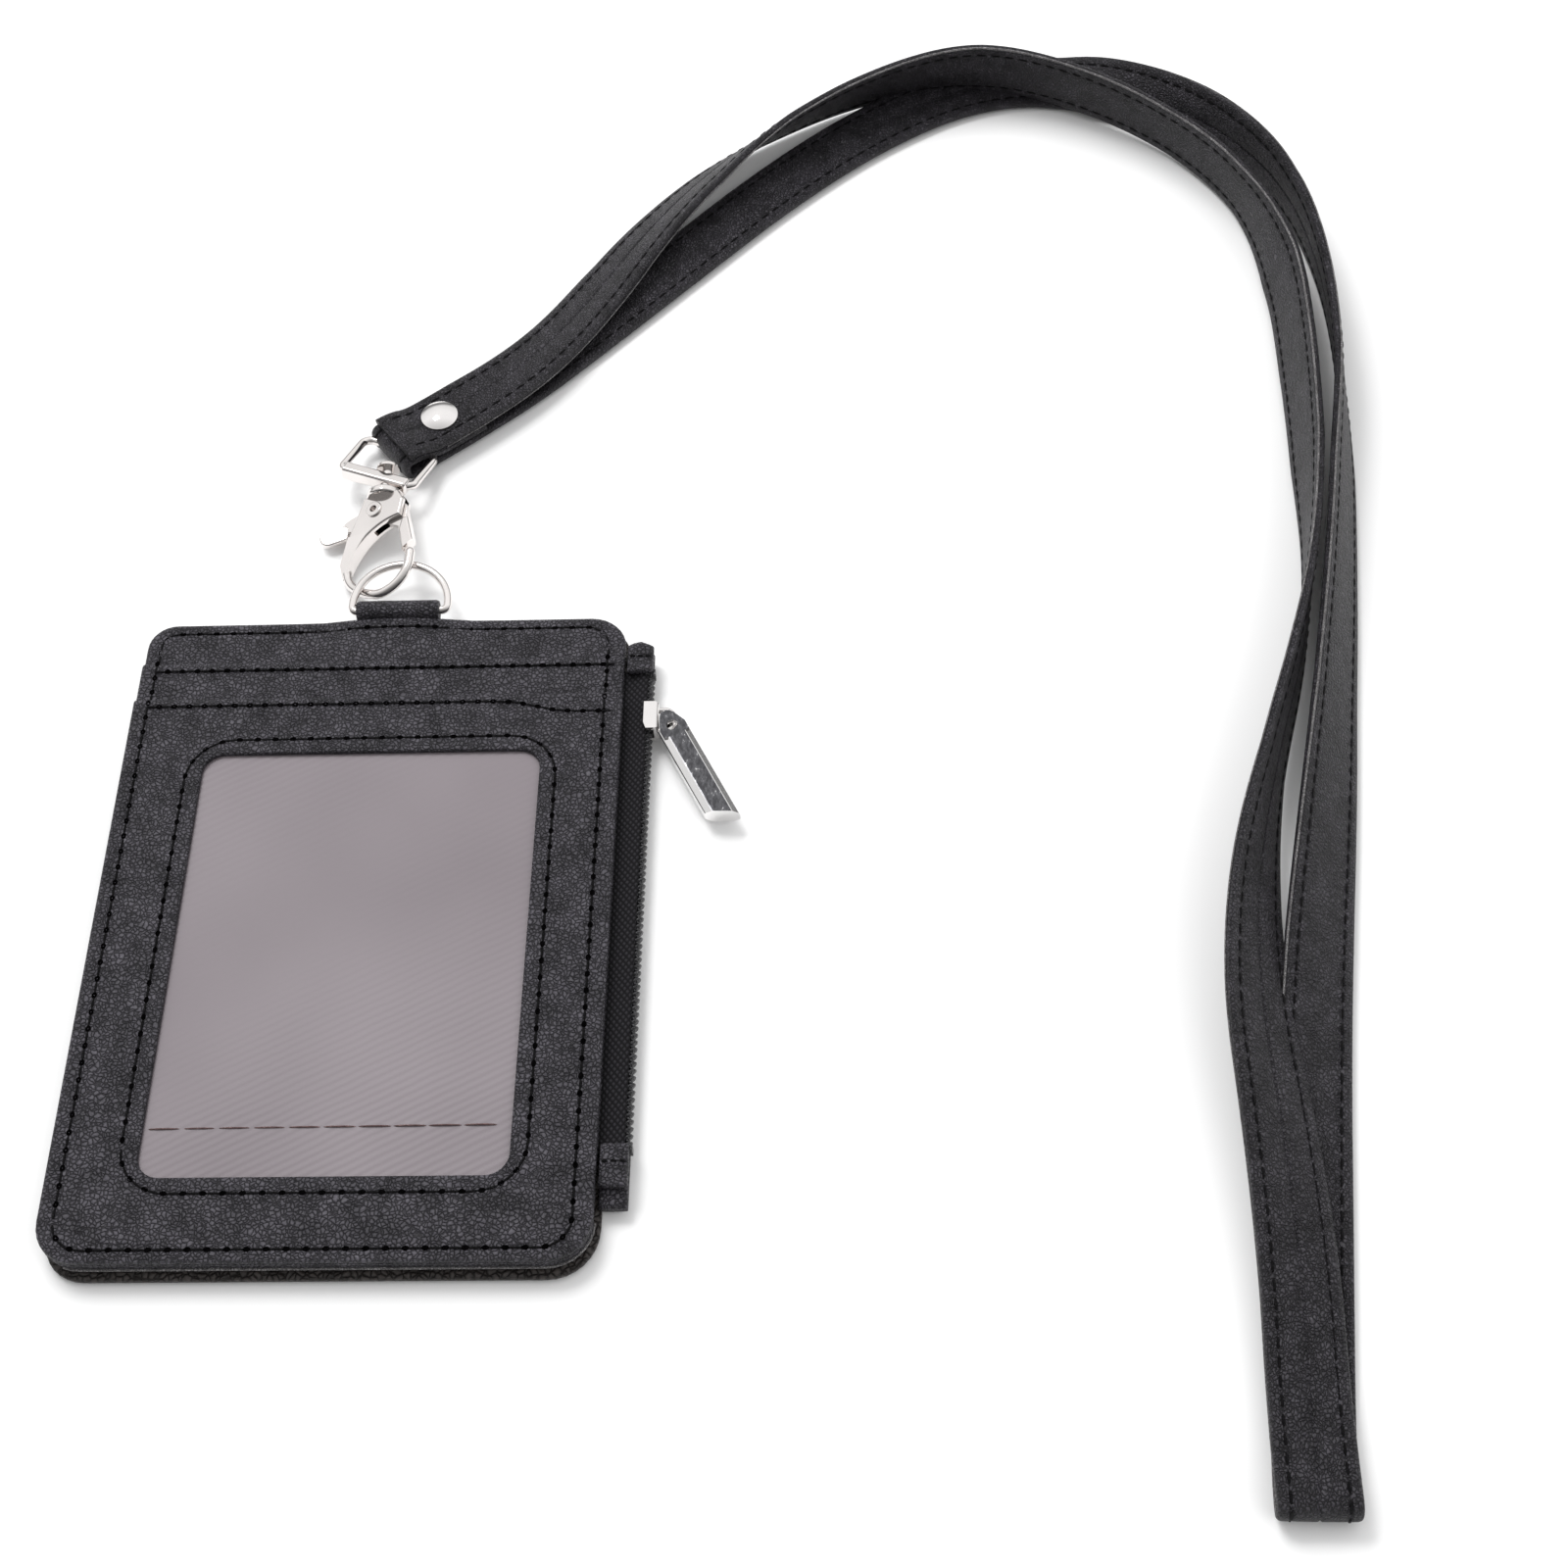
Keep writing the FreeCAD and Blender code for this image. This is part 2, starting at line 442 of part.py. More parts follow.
def swivel_loop():
    """A four-sided loop: bar in the strap's fold, two arms, and a deeper base bored for the post."""
    axis_deg = BAR_DEG - 90
    along = V(math.cos(math.radians(BAR_DEG)), math.sin(math.radians(BAR_DEG)), 0)
    down = V(math.cos(math.radians(axis_deg)), math.sin(math.radians(axis_deg)), 0)
    bar = V(BAR_X, BAR_Y, BAR_Z)
    base_xy = bar + down * LOOP_DEPTH
    post = clasp_point(SWIVEL_X, 23.6, 0)
    base = V(base_xy.x, base_xy.y, post.z)
    slope = base - bar
    slope.normalize()
    p = [bar + along * 1.0, bar + along * LOOP_HALF_W, base + along * LOOP_HALF_W + slope * -0.9,
         base + along * (LOOP_HALF_W - 1.2)]
    q = [bar - along * 1.0, bar - along * LOOP_HALF_W, base - along * LOOP_HALF_W + slope * -0.9,
         base - along * (LOOP_HALF_W - 1.2)]
    sides = []
    for points in (p, q):
        wire = route_wire([tuple(v) for v in points], 0.3)[0]
        sides.append(swept(wire, BAR_R))
    middle = cylinder(BAR_R, bar - along * 1.2, bar + along * 1.2)
    block = Part.makeBox(2 * LOOP_HALF_W - 1.4, LOOP_BASE_T, LOOP_BASE_H,
                         V(-LOOP_HALF_W + 0.7, -LOOP_BASE_T / 2, -LOOP_BASE_H / 2))
    block = softened(block, 0.55, lambda e: True)
    frame = FreeCAD.Matrix()
    normal = along.cross(slope * -1)
    frame.A11, frame.A21, frame.A31 = along.x, along.y, along.z
    frame.A12, frame.A22, frame.A32 = -slope.x, -slope.y, -slope.z
    frame.A13, frame.A23, frame.A33 = normal.x, normal.y, normal.z
    frame.A14, frame.A24, frame.A34 = base.x, base.y, base.z
    block = block.transformGeometry(frame)
    bore = cylinder(POST_R + RUNNING_GAP, clasp_point(SWIVEL_X, 20, 0), clasp_point(SWIVEL_X, 30, 0))
    save("swivel_loop", block.fuse(sides + [middle]).cut(bore))


# ---------------------------------------------------------------- neck strap and rivet
def strap_frame():
    e = math.radians(STRAP_END_DEG)
    b = math.radians(BAR_DEG)
    return V(math.cos(e), math.sin(e), 0), V(math.cos(b), math.sin(b), 0)


def strap_point(s, z, q=0.0):
    e, b = strap_frame()
    return V(BAR_X, BAR_Y, 0) + e * s + b * q + V(0, 0, z)


def strap_end():
    """The folded and riveted end, side profile (s, z) drawn out along the loop's bar."""
    t = STRAP_T
    roof = t + CAVITY_H
    front = -CAVITY_HALF - t
    _, b = strap_frame()

    def plate(profile):
        corners = [strap_point(s, z, -STRAP_END_HALF_Q) for s, z in profile]
        return Part.Face(Part.makePolygon(corners + corners[:1])).extrude(b * (2 * STRAP_END_HALF_Q))

    bend = 0.9
    outer = plate([(front + bend, 0), (FLAT_END_S, 0), (FLAT_END_S, t), (FOLD_BACK_END_S, t),
                   (FOLD_BACK_END_S, 2 * t), (FLAT_END_S, 2 * t), (FLAT_END_S, 3 * t), (PINCH_S, 3 * t),
                   (CAVITY_HALF, roof + 2 * t), (TOP_END_S, roof + 2 * t), (TOP_END_S, roof + t),
                   (front + bend, roof + t), (front, roof + t - bend), (front, bend)])
    cavity = plate([(-CAVITY_HALF, t), (CAVITY_HALF, t), (PINCH_S - 0.6, t), (CAVITY_HALF, roof),
                    (-CAVITY_HALF, roof)])
    for side in (-1, 1):
        beside = Part.makeBox(6, 6, 12, V(-3, -4.4, -1))
        beside.rotate(V(0, 0, 0), V(0, 0, 1), BAR_DEG)
        beside.translate(V(BAR_X, BAR_Y, 0) + b * (side * (LOOP_HALF_W - BAR_R - 0.55 + 3)))
        outer = outer.cut(beside)
    rivet = strap_point(RIVET_S, 0)
    shaft = cylinder(RIVET_SHAFT_R, rivet - V(0, 0, 1), rivet + V(0, 0, 8))
    seat = cylinder(RIVET_BASE_R, rivet - V(0, 0, 1), rivet + V(0, 0, 0.5))
    return outer.cut(cavity).cut(shaft).cut(seat)


def neck_strap():
    t = STRAP_T
    inside = 0.6
    start = tuple(strap_point(FLAT_END_S - inside, 2.5 * t))
    end = tuple(strap_point(FLAT_END_S - inside, 0.5 * t))
    wire, radii, length = route_wire([start] + STRAP_ROUTE + [end])
    tube = swept(wire, TUBE_R)
    section = math.pi * TUBE_R ** 2
    print("strap route length %.1f, tube volume %.1f against %.1f" % (length, tube.Volume, section * length))
    print("arc radii", " ".join("%.1f" % r for r in radii))
    save("neck_strap", strap_end().fuse(tube))


def rivet():
    at = strap_point(RIVET_S, 0)
    top = 3 * STRAP_T
    shaft = cylinder(RIVET_SHAFT_R, at + V(0, 0, 0.5), at + V(0, 0, top))
    flange = cylinder(RIVET_BASE_R, at, at + V(0, 0, 0.5))
    flange = softened(flange, 0.3, lambda e: e.CenterOfMass.z < 0.01)
    save("rivet_base", shaft.fuse(flange))
    disc = cylinder(RIVET_HEAD_R, at + V(0, 0, top), at + V(0, 0, top + 0.35))
    ball_r = 7.0
    dome = Part.makeSphere(ball_r, at + V(0, 0, top + 1.15 - ball_r))
    limit = cylinder(RIVET_HEAD_R, at + V(0, 0, top + 0.3), at + V(0, 0, top + 3))
    save("rivet_cap", disc.fuse(dome.common(limit)).removeSplitter())


def main():
    os.makedirs("parts", exist_ok=True)
    holder_parts()
    hang_tab()
    d_ring()
    zip_parts()
    slider()
    zip_pull()
    clasp_hook()
    clasp_gate()
    gate_pin()
    swivel_post()
    swivel_loop()
    neck_strap()
    rivet()


main()
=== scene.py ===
import bpy
import math
from mathutils import Matrix, Vector


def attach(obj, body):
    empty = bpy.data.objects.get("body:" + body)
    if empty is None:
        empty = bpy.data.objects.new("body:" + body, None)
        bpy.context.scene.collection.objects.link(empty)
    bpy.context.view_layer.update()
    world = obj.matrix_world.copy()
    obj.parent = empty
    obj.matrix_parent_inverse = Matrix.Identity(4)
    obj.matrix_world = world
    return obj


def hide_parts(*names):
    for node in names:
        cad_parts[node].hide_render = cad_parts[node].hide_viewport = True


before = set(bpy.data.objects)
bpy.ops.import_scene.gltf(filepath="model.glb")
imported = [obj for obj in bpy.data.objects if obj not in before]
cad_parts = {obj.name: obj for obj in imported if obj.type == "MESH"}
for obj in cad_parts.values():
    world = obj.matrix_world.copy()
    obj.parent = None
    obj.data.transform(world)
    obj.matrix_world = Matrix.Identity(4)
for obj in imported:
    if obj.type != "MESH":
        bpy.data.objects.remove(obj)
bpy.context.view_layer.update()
MM = 0.001


# ---------------------------------------------------------------- materials
def new_material(name, color, rough, metallic=0.0):
    """A plain material, its node tree and its shader."""
    mat = bpy.data.materials.new(name)
    mat.use_nodes = True
    mat.diffuse_color = (*color, 1.0)
    bsdf = mat.node_tree.nodes["Principled BSDF"]
    bsdf.inputs["Base Color"].default_value = (*color, 1.0)
    bsdf.inputs["Roughness"].default_value = rough
    bsdf.inputs["Metallic"].default_value = metallic
    return mat, mat.node_tree, bsdf


def object_coords(tree, scale=(1.0, 1.0, 1.0), turn=0.0):
    """The piece's own coordinates, stretched and turned about z by so many degrees."""
    coords = tree.nodes.new("ShaderNodeTexCoord")
    mapping = tree.nodes.new("ShaderNodeMapping")
    mapping.inputs["Scale"].default_value = scale
    mapping.inputs["Rotation"].default_value = (0, 0, math.radians(turn))
    tree.links.new(coords.outputs["Object"], mapping.inputs["Vector"])
    return mapping.outputs["Vector"]


def noise(tree, vector, scale, detail=3.0, rough=0.55):
    node = tree.nodes.new("ShaderNodeTexNoise")
    node.inputs["Scale"].default_value = scale
    node.inputs["Detail"].default_value = detail
    node.inputs["Roughness"].default_value = rough
    tree.links.new(vector, node.inputs["Vector"])
    return node.outputs["Fac"]


def ramp(tree, fac, stops):
    """A colour band over a value, from (place, colour) stops."""
    node = tree.nodes.new("ShaderNodeValToRGB")
    band = node.color_ramp
    while len(band.elements) < len(stops):
        band.elements.new(0.5)
    for element, (at, color) in zip(band.elements, stops):
        element.position = at
        element.color = (*color, 1.0)
    tree.links.new(fac, node.inputs["Fac"])
    return node.outputs["Color"]


def bump(tree, height, strength, distance, below=None):
    """A relief of so many metres, laid over another one if there is one below."""
    node = tree.nodes.new("ShaderNodeBump")
    node.inputs["Strength"].default_value = strength
    node.inputs["Distance"].default_value = distance
    tree.links.new(height, node.inputs["Height"])
    if below is not None:
        tree.links.new(below, node.inputs["Normal"])
    return node.outputs["Normal"]


def grey(v):
    return (v, v, v)


def leather(name, dark, light, cell=1150.0, depth=0.00012, rough=(0.36, 0.56), stretch=(1.0, 1.0, 1.0),
            gloss=0.5):
    """Pebbled leather: rounded cells with fine creases between, over soft waves, with painted shade darkening
    the creases.
    """
    mat, tree, bsdf = new_material(name, light, rough[1])
    at = object_coords(tree, stretch)
    warp = tree.nodes.new("ShaderNodeTexNoise")
    warp.inputs["Scale"].default_value = cell * 0.45
    warp.inputs["Detail"].default_value = 2.0
    tree.links.new(at, warp.inputs["Vector"])
    mix = tree.nodes.new("ShaderNodeMix")
    mix.data_type = "VECTOR"
    mix.inputs["Factor"].default_value = 0.0012
    tree.links.new(at, mix.inputs["A"])
    tree.links.new(warp.outputs["Color"], mix.inputs["B"])
    cells = tree.nodes.new("ShaderNodeTexVoronoi")
    cells.feature = "DISTANCE_TO_EDGE"
    cells.inputs["Scale"].default_value = cell
    tree.links.new(mix.outputs["Result"], cells.inputs["Vector"])
    pebble = ramp(tree, cells.outputs["Distance"], [(0.0, grey(0.0)), (0.12, grey(0.62)), (0.45, grey(1.0))])
    fine = noise(tree, at, cell * 2.2, 2.0, 0.5)
    waves = noise(tree, at, cell * 0.16, 2.0, 0.5)
    first = bump(tree, waves, 0.55, depth * 3.0)
    second = bump(tree, pebble, 1.0, depth * 2.4, first)
    third = bump(tree, fine, 0.2, depth * 0.3, second)
    tree.links.new(third, bsdf.inputs["Normal"])
    tone = ramp(tree, waves, [(0.3, dark), (0.72, light)])
    crease_shade = tree.nodes.new("ShaderNodeMix")
    crease_shade.data_type = "RGBA"
    crease_shade.blend_type = "MULTIPLY"
    crease_shade.inputs["Factor"].default_value = 1.0
    tree.links.new(tone, crease_shade.inputs["A"])
    # painted shade: the colour darkens towards the creases between the cells
    shade = ramp(tree, cells.outputs["Distance"], [(0.0, grey(0.3)), (0.3, grey(1.0))])
    tree.links.new(shade, crease_shade.inputs["B"])
    tree.links.new(crease_shade.outputs["Result"], bsdf.inputs["Base Color"])
    shine = ramp(tree, fine, [(0.25, grey(rough[0])), (0.75, grey(rough[1]))])
    tree.links.new(shine, bsdf.inputs["Roughness"])
    bsdf.inputs["Specular IOR Level"].default_value = gloss
    return mat


def plated(name, color, rough):
    """Polished plate with faint handling marks."""
    mat, tree, bsdf = new_material(name, color, rough, metallic=1.0)
    at = object_coords(tree)
    soft = noise(tree, at, 260.0, 3.0, 0.6)
    shine = ramp(tree, soft, [(0.3, grey(rough * 0.7)), (0.75, grey(rough * 1.6))])
    tree.links.new(shine, bsdf.inputs["Roughness"])
    tree.links.new(bump(tree, soft, 0.18, 0.00012), bsdf.inputs["Normal"])
    tone = ramp(tree, noise(tree, at, 90.0), [(0.3, tuple(c * 0.9 for c in color)), (0.7, color)])
    tree.links.new(tone, bsdf.inputs["Base Color"])
    return mat


def plate_with_painted_reflection(name, color, painted_dark):
    """Plate whose faces turned straight up carry a painted dark reflection, broken by fine scratches, while
    its flanks stay bright.
    """
    mat, tree, bsdf = new_material(name, color, 0.1, metallic=1.0)
    coords = tree.nodes.new("ShaderNodeTexCoord")
    split = tree.nodes.new("ShaderNodeSeparateXYZ")
    tree.links.new(coords.outputs["Normal"], split.inputs["Vector"])
    # painted reflection: faces whose normal points up, such as the flat front, are coloured dark
    flat = ramp(tree, split.outputs["Z"], [(0.94, grey(0.0)), (0.985, grey(1.0))])
    at = object_coords(tree, (1.0, 0.45, 1.0))
    marks = noise(tree, at, 1500.0, 4.0, 0.75)
    # fine scratches break the painted dark reflection, from dark to bright plate
    scratched_dark_reflection = ramp(tree, marks, [(0.42, painted_dark), (0.62, tuple(c * 2.2 for c in painted_dark)), (0.72, color)])
    mix = tree.nodes.new("ShaderNodeMix")
    mix.data_type = "RGBA"
    tree.links.new(flat, mix.inputs["Factor"])
    mix.inputs["A"].default_value = (*color, 1.0)
    tree.links.new(scratched_dark_reflection, mix.inputs["B"])
    tree.links.new(mix.outputs["Result"], bsdf.inputs["Base Color"])
    tree.links.new(bump(tree, marks, 0.3, 0.00006), bsdf.inputs["Normal"])
    return mat


def woven(name, color, count, depth):
    """Twill tape: two slanted ribs that meet in a herringbone, with painted shade in the hollows and painted
    light on the ribs.
    """
    mat, tree, bsdf = new_material(name, color, 0.85)
    heights = []
    for turn in (38, -38):
        wave = tree.nodes.new("ShaderNodeTexWave")
        wave.inputs["Scale"].default_value = count
        wave.inputs["Distortion"].default_value = 0.6
        tree.links.new(object_coords(tree, turn=turn), wave.inputs["Vector"])
        heights.append(wave.outputs["Fac"])
    both = tree.nodes.new("ShaderNodeMath")
    both.operation = "MULTIPLY"
    tree.links.new(heights[0], both.inputs[0])
    tree.links.new(heights[1], both.inputs[1])
    tree.links.new(bump(tree, both.outputs["Value"], 0.8, depth), bsdf.inputs["Normal"])
    # painted shade and light: the colour follows the ribs' height, dark in the hollows and light on top
    low, high = tuple(c * 0.4 for c in color), tuple(c * 1.7 for c in color)
    tone = ramp(tree, both.outputs["Value"], [(0.0, low), (0.6, high)])
    tree.links.new(tone, bsdf.inputs["Base Color"])
    bsdf.inputs["Sheen Weight"].default_value = 0.04
    bsdf.inputs["Specular IOR Level"].default_value = 0.15
    return mat


def frosted(name):
    """Soft clear film: milky, with fine ribs rising to the right and a painted sheen in large soft patches.
    """
    mat, tree, bsdf = new_material(name, (0.33, 0.3, 0.315), 0.38)
    wave = tree.nodes.new("ShaderNodeTexWave")
    wave.inputs["Scale"].default_value = 260.0
    wave.inputs["Distortion"].default_value = 1.2
    wave.inputs["Detail"].default_value = 1.0
    wave.inputs["Detail Scale"].default_value = 0.6
    tree.links.new(object_coords(tree, turn=-118), wave.inputs["Vector"])
    at = object_coords(tree)
    clouds = noise(tree, at, 22.0, 2.0, 0.5)
    low = bump(tree, clouds, 0.5, 0.0012)
    tree.links.new(bump(tree, wave.outputs["Fac"], 0.35, 0.00006, low), bsdf.inputs["Normal"])
    # painted sheen: the tone goes lighter and darker in large soft patches over the same clouds that buckle
    # the relief
    tone = ramp(tree, clouds, [(0.3, (0.165, 0.141, 0.155)), (0.7, (0.213, 0.185, 0.201))])
    tree.links.new(tone, bsdf.inputs["Base Color"])
    return mat


# each leather is given its darkest and lightest tone
LEATHER = leather("black_leather", (0.034, 0.0315, 0.0388), (0.088, 0.082, 0.098), cell=1500.0)
STRAP = leather("strap_leather", (0.019, 0.0172, 0.0215), (0.054, 0.0497, 0.0600), cell=2000.0,
                stretch=(1.0, 0.8, 1.0))
# painted shade: near black discs that stand for the shade inside the needle holes
HOLE_SHADE = leather("stitch_hole_shade", (0.002, 0.0018, 0.002), (0.005, 0.0045, 0.005), cell=4000.0, depth=0.00003,
               rough=(0.7, 0.9), gloss=0.0)
BACK = leather("back_leather", (0.034, 0.028, 0.026), (0.062, 0.052, 0.048), cell=1000.0)
# painted highlight: a pale strip along the strap's rolled edge and the holder's bottom edge
EDGE_HIGHLIGHT = leather("painted_edge_highlight", (0.20, 0.19, 0.195), (0.34, 0.33, 0.335), cell=2500.0, depth=0.00005,
               rough=(0.6, 0.8))
LINING = woven("lining_cloth", (0.07, 0.012, 0.017), 900.0, 0.00006)
TAPE = woven("zip_tape_weave", (0.016, 0.0152, 0.0175), 420.0, 0.00022)
TEETH = leather("coil_nylon", (0.02, 0.02, 0.023), (0.04, 0.039, 0.044), cell=1500.0, depth=0.00003,
                rough=(0.2, 0.34), gloss=0.75)
THREAD = leather("black_thread", (0.006, 0.0055, 0.0065), (0.012, 0.011, 0.013), cell=5200.0, depth=0.00006,
                 rough=(0.4, 0.6), gloss=0.22)
PINK_THREAD = leather("dusty_thread", (0.34, 0.20, 0.20), (0.46, 0.30, 0.29), cell=5200.0, depth=0.00006)
FILM = frosted("frosted_film")
NICKEL = plated("nickel_plate", (0.86, 0.82, 0.80), 0.09)
CHROME = plated("chrome_plate", (0.88, 0.855, 0.845), 0.07)
# the zip pull's plate, with a painted dark reflection on its flat front
DARK_REFLECTION_PLATE = plate_with_painted_reflection("chrome_plate_dark_reflection", (0.88, 0.87, 0.865), (0.075, 0.075, 0.08))


# ---------------------------------------------------------------- mesh helpers
def link_object(name, data):
    """A new object in the scene."""
    obj = bpy.data.objects.new(name, data)
    bpy.context.scene.collection.objects.link(obj)
    return obj


def add_mesh(name, verts, faces, mat, body, replaces=()):
    """A mesh in millimetres becomes a piece that rides on one CAD body."""
    mesh = bpy.data.meshes.new(name)
    mesh.from_pydata([(x * MM, y * MM, z * MM) for x, y, z in verts], [], faces)
    mesh.validate()
    mesh.materials.append(mat)
    mesh.polygons.foreach_set("use_smooth", [True] * len(mesh.polygons))
    obj = link_object(name, mesh)
    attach(obj, body)
    if replaces:
        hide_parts(*replaces)
    return obj


def ring_quads(base, count, around):
    """Quads that join so many closed rings, each of the same number of points, from point base on."""
    faces = []
    for k in range(count - 1):
        low, high = base + k * around, base + (k + 1) * around
        for i in range(around):
            j = (i + 1) % around
            faces.append((low + i, low + j, high + j, high + i))
    return faces


def loft(rings, close_start=False, close_end=False):
    """A skin over closed rings that have equal numbers of points."""
    n = len(rings[0])
    verts = [p for ring in rings for p in ring]
    faces = ring_quads(0, len(rings), n)
    if close_start:
        faces.append(tuple(range(n - 1, -1, -1)))
    if close_end:
        faces.append(tuple((len(rings) - 1) * n + i for i in range(n)))
    return verts, faces


def outline(x0, x1, y0, y1, radii, inset=0.0, straight=14, corner=8):
    """Points round a rectangle. Its corner radii run from low left to low right, top right and top left."""
    x0, x1, y0, y1 = x0 + inset, x1 - inset, y0 + inset, y1 - inset
    r = [max(0.12, q - inset) for q in radii]
    centres = [(x0 + r[0], y0 + r[0]), (x1 - r[1], y0 + r[1]), (x1 - r[2], y1 - r[2]), (x0 + r[3], y1 - r[3])]
    points = []
    for k in range(4):
        cx, cy = centres[k]
        for i in range(corner + 1):
            a = math.radians(180 + 90 * k + 90 * i / corner)
            points.append((cx + r[k] * math.cos(a), cy + r[k] * math.sin(a)))
        nx, ny = centres[(k + 1) % 4]
        a = math.radians(270 + 90 * k)
        nr = r[(k + 1) % 4]
        ax, ay = points[-1]
        bx, by = nx + nr * math.cos(a), ny + nr * math.sin(a)
        for i in range(1, straight):
            t = i / straight
            points.append((ax + (bx - ax) * t, ay + (by - ay) * t))
    return points


def stitch_mesh(spots, length, width, height):
    """One small thread for each (place, along, out)."""
    verts, faces = [], []
    # (place along the stitch, share of its width, rise)
    stations = [(-0.5, 0.25, -0.6), (-0.42, 0.8, 0.0), (-0.2, 1.0, 0.55), (0.2, 1.0, 0.55), (0.42, 0.8, 0.0),
                (0.5, 0.25, -0.6)]
    around = 6
    for place, along, out in spots:
        side = along.cross(out).normalized()
        base = len(verts)
        for at, size, rise in stations:
            for i in range(around):
                a = 2 * math.pi * i / around
                p = place + along * (at * length) + side * (0.5 * width * size * math.cos(a))
                p = p + out * (height * (0.5 * size * math.sin(a) + 0.5 * rise))
                verts.append(p)
        faces += ring_quads(base, len(stations), around)
    return verts, faces


def pit_mesh(spots, length, width):
    """One small needle hole, hollow in the middle, for each (place, along, out), which carries the painted
    shade of the hole.
    """
    verts, faces = [], []
    # (share of its size, rise)
    rims = [(1.0, -0.03), (0.94, 0.015), (0.6, -0.02)]
    depth = 0.05
    around = 8
    for place, along, out in spots:
        side = along.cross(out).normalized()
        base = len(verts)
        for size, rise in rims:
            for i in range(around):
                a = 2 * math.pi * (i + 0.5) / around
                ahead = along * (0.5 * length * size * math.cos(a))
                aside = side * (0.5 * width * size * math.sin(a))
                verts.append(place + ahead + aside + out * rise)
        verts.append(place - out * depth)
        faces += ring_quads(base, len(rims), around)
        last, middle = base + (len(rims) - 1) * around, base + len(rims) * around
        for i in range(around):
            faces.append((last + i, last + (i + 1) % around, middle))
    return verts, faces


def along_line(points, pitch, start=0.5, closed=False):
    """Evenly spaced (place, direction) along a line of points."""
    pts = [Vector(p) for p in points]
    if closed:
        pts.append(pts[0])
    spots, due, gone = [], pitch * start, 0.0
    for a, b in zip(pts, pts[1:]):
        span = (b - a).length
        while span > 0 and due <= gone + span:
            spots.append((a.lerp(b, (due - gone) / span), (b - a).normalized()))
            due += pitch
        gone += span
    return spots


# ---------------------------------------------------------------- neck strap
STRAP_W, STRAP_T = 11.5, 1.45
# the swivel loop's base bar, and the way the strap's riveted end leaves it
BAR = Vector((-1.9, 96.1, 0.0))
END_DIR = Vector((math.cos(math.radians(38)), math.sin(math.radians(38)), 0.0))


def at_end(s, z):
    """A point so far from the base bar along the riveted end."""
    p = BAR + END_DIR * s
    return (p.x, p.y, z)


# (x, y, z of the strap's middle, turn about its own line in degrees)
UPPER_LEG = [
    (*at_end(-1.1, 5.3), 180), (*at_end(1.6, 5.2), 180), (*at_end(4.4, 3.85), 180), (*at_end(8.5, 3.75), 180),
    (*at_end(13.0, 3.75), 180),
    (17.5, 112.0, 3.5, 176), (25.0, 121.5, 2.9, 170), (32.0, 133.5, 2.4, 165), (39.5, 146.0, 2.8, 155),
    (50.5, 160.0, 3.6, 143), (65.0, 172.5, 5.0, 121), (83.0, 183.0, 5.8, 108), (102.5, 186.0, 7.2, 93),
    (121.5, 179.0, 6.9, 94), (138.0, 167.5, 6.1, 94.5), (150.0, 152.0, 5.9, 88), (155.5, 132.0, 5.5, 66),
    (155.9, 110.0, 5.3, 67), (155.3, 88.0, 5.5, 72), (153.8, 66.0, 5.8, 88), (149.5, 45.5, 6.0, 101),
    (143.0, 24.0, 6.6, 109.5), (138.3, 3.0, 7.2, 131), (136.9, -17.0, 6.6, 150), (138.6, -38.0, 5.0, 162),
    (139.4, -58.0, 3.4, 172.5), (139.0, -74.0, 2.5, 177), (138.8, -83.5, 3.0, 180), (138.7, -89.0, 3.8, 180),
    (138.7, -92.7, 4.0, 180),
]
LOWER_LEG = [
    (138.7, -92.7, 0.8, 0), (138.8, -88.0, 0.75, 0), (139.3, -80.0, 0.8, 0), (140.7, -66.0, 1.1, 3),
    (142.6, -48.0, 1.6, 8.5), (144.7, -28.0, 2.3, 15), (147.6, -6.0, 3.0, 22.5), (151.2, 16.0, 4.0, 35.5),
    (154.6, 38.0, 4.7, 49.5), (158.0, 61.0, 5.0, 58.5), (161.0, 85.0, 5.4, 66), (163.0, 108.0, 5.7, 81),
    (162.8, 130.0, 5.9, 85.5), (158.8, 151.0, 5.8, 91.5), (149.0, 166.5, 5.6, 109), (134.5, 178.5, 4.4, 136),
    (117.5, 187.0, 1.7, 168), (99.5, 185.5, 0.9, 173), (81.0, 175.0, 0.75, 176), (63.0, 159.5, 0.75, 178),
    (45.5, 141.0, 0.75, 180), (29.5, 124.0, 0.75, 180), (18.5, 112.6, 0.75, 180),
    (*at_end(13.0, 0.75), 180), (*at_end(8.5, 0.75), 180), (*at_end(4.0, 0.75), 180),
    (*at_end(0.0, 0.75), 180), (*at_end(-2.05, 0.8), 180), (*at_end(-2.05, 3.9), 180),
    (*at_end(0.0, 3.9), 180), (*at_end(2.2, 3.6), 180), (*at_end(4.8, 2.3), 180),
    (*at_end(8.5, 2.25), 180), (*at_end(14.4, 2.25), 180),
]
ROUTE = UPPER_LEG + LOWER_LEG
STEPS = 10
# the last points of the route wrap the base bar and run back along the end
WRAP_POINTS = 7
FLOOR_GAP = 0.03


def smooth_line(points):
    """The route's own NURBS line, read back as points in millimetres."""
    curve = bpy.data.curves.new("strap_route", "CURVE")
    curve.dimensions = "3D"
    curve.resolution_u = STEPS
    spline = curve.splines.new("NURBS")
    spline.points.add(len(points) - 1)
    for knot, p in zip(spline.points, points):
        knot.co = (p[0] * MM, p[1] * MM, p[2] * MM, 1.0)
    spline.order_u = 3
    spline.use_endpoint_u = True
    holder = link_object("strap_route", curve)
    mesh = bpy.data.meshes.new_from_object(holder)
    line = [v.co / MM for v in mesh.vertices]
    bpy.data.objects.remove(holder)
    return line


